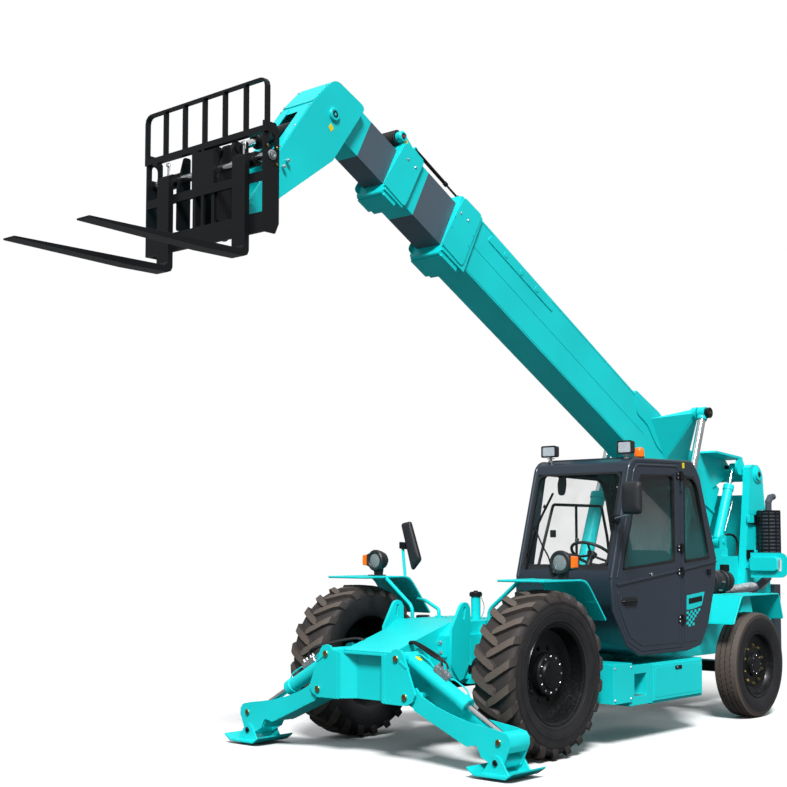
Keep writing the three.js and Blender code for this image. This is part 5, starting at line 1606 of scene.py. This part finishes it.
base = lathe([(0, 0), (40, 0), (40, 12), (30, 20), (30, 30), (42, 33), (44, 38), (44, 42), (0, 42)],
             at(*BEACON, 2308), Z, 40)
piece("beacon_foot", base, "black", "chassis", "black_plastic")
dome = lathe([(41, 41), (43, 48), (42, 90), (38, 108), (28, 119), (14, 123), (0, 124)], at(*BEACON, 2308), Z, 48)
piece("beacon_dome", dome, "amber", "chassis", "amber_plastic", 60, ["beacon"])
ribs = Shape()
for i in range(18):
    turn = Matrix.Rotation(2 * math.pi * i / 18, 3, "Z")
    ribs.join(tube([at(*BEACON, 2358) + turn @ Vector((0.0425, 0, 0)), at(*BEACON,
                                                                          2394) + turn @ Vector((0.0415, 0, 0))], 1.6,
                   sides=6))
piece("beacon_ribs", ribs, "amber", "chassis", "amber_plastic")

# wiper
blade = Shape()
spots = [Vector(at(*p)) for p in ((286, 732, 1402), (321, 832, 1731), (429, 922, 2028))]
blade.join(tube(spots, 5, sides=8))
blade.join(sweep(smooth_path([p + Y * 0.012 for p in spots]), oblong(-0.003, -0.010, 0.003, 0.010)))
for t in (0.2, 0.42, 0.58, 0.8):
    spot = spots[0].lerp(spots[2], t)
    blade.join(lathe(oblong(0, -14, 8, 14), spot + (spots[1] - spots[0].lerp(spots[2], 0.5)) * 0.9,
                     (spots[2] - spots[0]).normalized(), 10))
blade.join(tube([at(325, 818, 1731), at(420, 776, 1602), at(512, 742, 1494), at(560, 716, 1400)], 7, sides=10))
blade.join(tube([at(560, 716, 1400), at(584, 716, 1364)], 11, sides=12))
blade.join(lathe([(0, 0), (19, 0), (19, 16), (14, 22), (0, 22)], at(584, 742, 1362), -Y, 24))
blade.join(lathe(oblong(0, -12, 15, 10), at(323, 822, 1731), -Y, 20))
piece("windscreen_wiper", blade, "black", "chassis", "black_plastic", 45)

# inside: mirror, fan, lining, wheel, levers, right-hand sash
inner = slab(rounded([(258, 2022), (322, 2018), (342, 2110), (336, 2192), (276, 2197), (250, 2120)], 30), 1246, 1262,
             across, 4)
inner.join(tube([at(237, 1250, 2238), at(262, 1256, 2180), at(290, 1262, 2130)], 6, sides=10))
inner.join(lathe([(0, 0), (22, 0), (22, 16), (0, 18)], at(237, 1250, 2245), -Z, 20))
piece("cab_inner_mirror", inner, "plastic", "chassis", "black_plastic", 45)
fan = Shape()
hub = at(830, 1200, 2042)
for r, dy in ((82, 0), (82, 34), (56, -10), (28, -16)):
    ring = [hub + Vector((math.cos(t) * r, dy, math.sin(t) * r)) * MM for t in np.linspace(0, 2 * math.pi, 37)]
    fan.join(sweep(ring, ring_outline(2, 6), False))
for i in range(14):
    t = 2 * math.pi * i / 14
    way = Vector((math.cos(t), 0, math.sin(t)))
    fan.join(tube([hub - Y * 0.017 + way * 0.018, hub - Y * 0.012 + way * 0.05, hub + way * 0.082,
                   hub + Y * 0.034 + way * 0.082],
                  1.6, sides=5))
for i in range(3):
    turn = Matrix.Rotation(2 * math.pi * i / 3, 3, "Y")
    leaf = slab(rounded([(12, -22), (66, -30), (70, 24), (14, 14)], 10), 6, 9, lambda a, b,
                d: hub + turn @ Vector((a, d + b * 0.25, b)) * MM, 1)
    fan.join(leaf)
fan.join(lathe([(0, -18), (20, -16), (22, 0), (22, 50), (16, 58), (0, 58)], hub, Y, 24))
fan.join(tube([at(830, 1245, 2040), at(832, 1262, 2140), at(835, 1262, 2245)], 8, sides=10))
piece("cab_fan", fan, "plastic", "chassis", "black_plastic", 45)
lining = slab(rounded([(1115, 2215), (1350, 2250), (2010, 2262), (2110, 2180), (2095, 2120), (1850, 2232),
                       (1350, 2232)], 10),
              232, 1084, side(), 4)
piece("cab_roof_lining", lining, "liner", "chassis", "black_plastic", 40)
sash = tube([at(200, *p) for p in ((1040, 1432), (1257, 1944), (2014, 1946), (2104, 1670), (2150, 1420))], 13, 0.03, 8)
sash.join(tube([at(200, 1608, 1940), at(200, 1611, 1345)], 12, sides=8))
sash.join(tube([at(200, 1040, 1432), at(200, 1000, 1320)], 12, sides=8))
sash.join(slab(rounded(oblong(1208, 1660, 1262, 1724), 8), 198, 226, side(), 3))
piece("cab_right_sash", sash, "rubber", "chassis", "black_plastic", 45)

column_way = Vector((0, 0.548, 0.836))
wheel_middle = at(665, 1150, 1519)
turn = basis(column_way)
rim = [wheel_middle + turn @ Vector((math.cos(t) * 0.178, math.sin(t) * 0.178, 0)) for t in np.linspace(0,
                                                                                                        2 * math.pi,
                                                                                                        49)]
wheel = sweep(rim, ring_outline(13, 10), False)
for t in (0.3, 2.4, 4.5):
    end = wheel_middle + turn @ Vector((math.cos(t) * 0.17, math.sin(t) * 0.17, 0))
    wheel.join(tube([wheel_middle - column_way * 0.012, wheel_middle.lerp(end, 0.5) - column_way * 0.008, end], 10,
                    sides=8))
wheel.join(lathe([(0, -34), (30, -34), (40, -10), (44, 8), (30, 18), (0, 20)], wheel_middle, column_way, 28))
wheel.join(tube([wheel_middle - column_way * 0.03, wheel_middle - column_way * 0.24, at(665, 960, 1232)], 24, sides=16))
wheel.join(lathe([(0, 0), (10, 0), (10, 20), (17, 30), (17, 48), (0, 54)],
                 wheel_middle + turn @ Vector((0.15, -0.08, 0.005)), column_way, 16))
piece("cab_steering_wheel", wheel, "plastic", "chassis", "black_plastic", 45)
dash = slab(rounded([(850, 1001), (1010, 1001), (1010, 1190), (985, 1262), (905, 1300), (850, 1296)], 20), 262, 898,
            side(), 10)
dash.join(slab(rounded([(940, 1240), (1012, 1205), (1012, 1310), (950, 1345)], 20), 560, 790, side(), 8))
for x in (600, 665, 730):
    dash.join(lathe(oblong(24, 0, 27, 5), at(x, 1012, 1262), Y, 28))
piece("cab_dashboard", dash, "liner", "chassis", "black_plastic", 40, ["dashboard"])
stalks = Shape()
for x, way in ((640, -1), (690, 1)):
    stalks.join(tube([at(x, 1085, 1415), at(x + way * 70, 1090, 1432), at(x + way * 150, 1096, 1446)], 6, sides=8))
    stalks.join(lathe([(0, 0), (10, 0), (10, 30), (0, 34)], at(x + way * 146, 1096, 1445), X * way, 12))
console = slab(rounded([(1330, 1000), (1820, 1000), (1820, 1240), (1500, 1290), (1330, 1262)], 30), 290, 405,
               side(), 10)
stick = tube([at(345, 1400, 1270), at(350, 1390, 1360), at(352, 1380, 1440)], 11, sides=12)
stick.join(lathe([(0, 0), (16, 4), (23, 30), (24, 70), (18, 92), (0, 100)], at(352, 1384, 1420), Z, 20))
piece("cab_stalks", stalks.join(stick), "plastic", "chassis", "black_plastic", 45)
piece("cab_console", console, "liner", "chassis", "black_plastic", 40)
mat = brick((436, 1064, 760), (1086, 2090, 768), 2)
piece("cab_floor_mat", mat, "rubber", "chassis", "black_plastic")


# ---------- seat ----------
scene = bpy.context.scene
CLOTH_FRAMES = 12


def evaluated(made):
    return made.evaluated_get(bpy.context.evaluated_depsgraph_get())


def cushion(name, low, high, replaces=()):
    """A stuffed cushion: a box of cloth, remeshed and inflated."""
    block = slab(rounded(oblong(*low[:2], *high[:2]), 40), low[2], high[2], lying, 20)
    made = bpy.data.objects.new(name, block.mesh(name))
    scene.collection.objects.link(made)
    remesh = made.modifiers.new("even", "REMESH")
    remesh.mode = "VOXEL"
    remesh.voxel_size = 0.009
    soft = made.modifiers.new("cloth", "CLOTH")
    soft.settings.use_pressure = True
    soft.settings.uniform_pressure_force = 4
    soft.settings.effector_weights.gravity = 0
    soft.settings.shrink_min = 0.02
    soft.settings.quality = 6
    soft.point_cache.frame_start = 1
    soft.point_cache.frame_end = CLOTH_FRAMES
    for number in range(1, CLOTH_FRAMES + 1):
        scene.frame_set(number)
        evaluated(made)
    mesh = bpy.data.meshes.new_from_object(evaluated(made))
    bpy.data.objects.remove(made)
    scene.frame_set(1)
    made = piece(name, mesh, "cloth", "chassis", "seat_cloth", 60, replaces)


cushion("seat_base_cushion", (440, 1490, 1150), (890, 1940, 1240), ["seat"])
cushion("seat_back_cushion", (450, 1912, 1262), (880, 2010, 1540))
pan = slab(rounded(oblong(430, 1480, 900, 2010), 40), 1118, 1152, lying, 6)
pan.join(slab(rounded(oblong(445, 1150, 885, 1548), 50), 2006, 2028, across, 8))
piece("seat_pan", pan, "plastic", "chassis", "black_plastic", 40)
bellows = Shape()
for i in range(7):
    bellows.join(slab(rounded(oblong(530, 1610, 800, 1930), 30), 780 + i * 48, 822 + i * 48, lying, 16))
piece("seat_bellows", bellows, "rubber", "chassis", "black_plastic", 60)
for x in (424, 906):
    rest = slab(rounded([(1640, 1330), (1940, 1330), (1940, 1380), (1640, 1378)], 20), x - 26, x + 26, side(), 10)
    piece("seat_arm_rest_" + ("left" if x > 600 else "right"), rest, "plastic", "chassis", "black_plastic", 45)

# ---------- outside mirrors ----------
arm = tube([at(1096, 856, 1800), at(1120, 790, 1806), at(1345, 662, 1836), at(1372, 664, 1962)], 9, 0.05, 12)
arm.join(lathe([(0, -14), (20, -14), (20, 6), (0, 8)], at(1372, 660, 1962), Y, 24))
piece("mirror_arm_left", arm, "steel", "chassis", "chrome")
clamp = brick((1074, 792, 1772), (1126, 872, 1836), 8)
piece("mirror_clamp_left", clamp, "black", "chassis", "black_plastic")


def domed(outline, low, high, place, rise):
    """Mirror housing: a flat glass side and a back that swells by rise."""
    shape = Shape()
    centre = np.mean(outline, axis=0)
    rings = [(1.0, low), (1.0, high - rise), (0.96, high - rise * 0.55), (0.82, high - rise * 0.2), (0.5, high - 1),
             (0.2, high)]
    for share, depth in rings:
        shape.points.extend(Vector(place(centre[0] + (a - centre[0]) * share, centre[1] + (b - centre[1]) * share,
                                         depth))
                            for a, b in outline)
    return outward(shape.skin(len(outline), len(rings)))


left = rounded(oblong(1290, 1833, 1458, 2087), 38, 5)
housing = domed(left, 650, 602, across, -34)
piece("mirror_housing_left", housing, "plastic", "chassis", "black_plastic", 50, ["mirror_left"])
glass = slab(rounded(oblong(1300, 1843, 1448, 2077), 26, 5), 649, 653, across, 1)
piece("mirror_glass_left", glass, "mirror", "chassis", "chrome")
post = tube([at(-709, 350, 1332), at(-742, 350, 1620)], 13, sides=12)
piece("mirror_post_right", post, "teal", "chassis", "teal_paint", 40, ["mirror_right"])
grip = slab(rounded([(-762, 1564), (-700, 1558), (-700, 1618), (-762, 1622)], 8), 330, 372, across, 4)
piece("mirror_clamp_right", grip, "black", "chassis", "black_plastic")
plate = domed(rounded([(-750, 1780), (-650, 1798), (-532, 1470), (-625, 1376)], 22, 5), 366, 326, across, -22)
piece("mirror_housing_right", plate, "plastic", "chassis", "black_plastic", 50)


# ---------- every remaining CAD node ----------
DRESSES = {
    "teal": ("teal_paint", ["chassis_frame", "step_box", "rear_fender_left", "rear_fender_right", "locker_door",
                            "boom_outer",
                            "stabiliser_leg_left", "stabiliser_leg_right", "stabiliser_pad_left",
                            "stabiliser_pad_right", "lift_barrel_left", "lift_barrel_right",
                            "slave_barrel"]),
    "charcoal": ("charcoal_paint", ["counterweight"]),
    "slate": ("slate_paint", ["boom_mid", "boom_inner"]),
    "black": ("black_paint", ["front_axle", "rear_axle", "rear_knuckle_left", "rear_knuckle_right",
                              "carriage", "fork_left", "fork_right", "tilt_barrel", "side_tank"]),
    # the muffler is black but is dressed in the lighter liner grey: painted highlight, so the gaps between the guard's
    # bars read bright
    "liner": ("black_paint", ["muffler"]),
    "iron": ("cast_iron", ["engine_block"]),
    "chrome": ("chrome", ["tilt_rod", "lift_rod_left", "lift_rod_right", "slave_rod"]),
}
shown = {name for made in bpy.data.objects for name in made.get("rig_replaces", [])}
for finish, (slot, names) in DRESSES.items():
    for name in names:
        if name not in shown:
            dress(name, finish, slot)
for name in ("cab_door_window", "cab_quarter_window", "cab_rear_window", "cab_right_window", "cab_windscreen"):
    clear = "glass" if name in ("cab_door_window", "cab_quarter_window") else "screen"
    frame["nodes"][name].data.materials.clear()
    frame["nodes"][name].data.materials.append(MAT[clear])

# ---------- floor, light and camera ----------
CENTRE = (Vector(cad_box[0]) + Vector(cad_box[1])) / 2


def floor_finish():
    """Pale floor that keeps the machine's shadow and turns to plain white further out."""
    finish = Finish("studio_floor")
    spot = finish.place()
    reach = finish.node("ShaderNodeVectorMath", {"operation": "LENGTH"}, {0: spot}, 1)
    far = finish.span(reach, 3.0, 6.2)
    speck = finish.span(finish.noise(12.0, 3.0), 0.3, 0.7)
    seen = finish.node("ShaderNodeLightPath")
    pale = finish.mix(tone("f4f4f4"), tone("fbfbfb"), speck)
    finish.shade(
        Base_Color=finish.mix(tone("5a5c5e"), pale, seen),
        Roughness=finish.span(speck, 0.0, 1.0, 0.75, 0.85),
    )
    glow = finish.node("ShaderNodeEmission", inputs={"Color": (1, 1, 1, 1), "Strength": 1.0})
    blend = finish.node("ShaderNodeMixShader", inputs={0: seen * far})
    tree = finish.tree
    mixer = blend.socket.node
    tree.links.new(finish.shader.outputs[0], mixer.inputs[1])
    tree.links.new(glow.socket, mixer.inputs[2])
    tree.links.new(blend.socket, tree.nodes["Material Output"].inputs["Surface"])
    return finish.material


MAT["floor"] = floor_finish()
ground = Shape().add([(-40, -40, -0.003), (40, -40, -0.003), (40, 40, -0.003), (-40, 40, -0.003)], [[0, 1, 2, 3]])
floor = bpy.data.objects.new("floor", ground.mesh("floor"))
floor.data.materials.append(MAT["floor"])
scene.collection.objects.link(floor)

world = bpy.data.worlds.new("studio")
scene.world = world
world.use_nodes = True
sky = Net()
sky.tree = world.node_tree
sky.tree.nodes.clear()
seen = sky.node("ShaderNodeLightPath")
up = sky.node("ShaderNodeSeparateXYZ", inputs={0: sky.node("ShaderNodeTexCoord")}, out=2)
shade = sky.node("ShaderNodeMapRange", inputs={"Value": up, "From Min": -0.2, "From Max": 0.9,
                                               "To Min": 0.12, "To Max": 0.7})
soft = sky.node("ShaderNodeBackground", inputs={"Color": (0.97, 0.985, 1.0, 1.0), "Strength": shade})
plain = sky.node("ShaderNodeBackground", inputs={"Color": (1, 1, 1, 1), "Strength": 1.0})
mixer = sky.tree.nodes.new("ShaderNodeMixShader")
for place, value in enumerate((seen, soft, plain)):
    sky.put(mixer.inputs[place], value)
sky.tree.links.new(mixer.outputs[0], sky.tree.nodes.new("ShaderNodeOutputWorld").inputs[0])

sun = bpy.data.objects.new("key_light", bpy.data.lights.new("key_light", "SUN"))
sun.data.energy = 4.3
sun.data.angle = math.radians(14)
sun.rotation_euler = basis(Vector((0.55, -0.62, 0.85))).to_euler()
scene.collection.objects.link(sun)

camera = bpy.data.objects.new("camera", bpy.data.cameras.new("camera"))
camera.data.sensor_width = 36
camera.data.lens = 61.342
camera.data.shift_x = -0.01064
camera.data.shift_y = 0.0807
camera.data.clip_end = 200
camera.location = CENTRE + Vector((6.8905, -8.9215, -0.904))
look = Vector((-0.66134, 0.74727, 0.06487)).normalized()
camera.rotation_euler = look.to_track_quat("-Z", "Y").to_euler()
scene.collection.objects.link(camera)
scene.camera = camera
scene.view_settings.view_transform = "Standard"
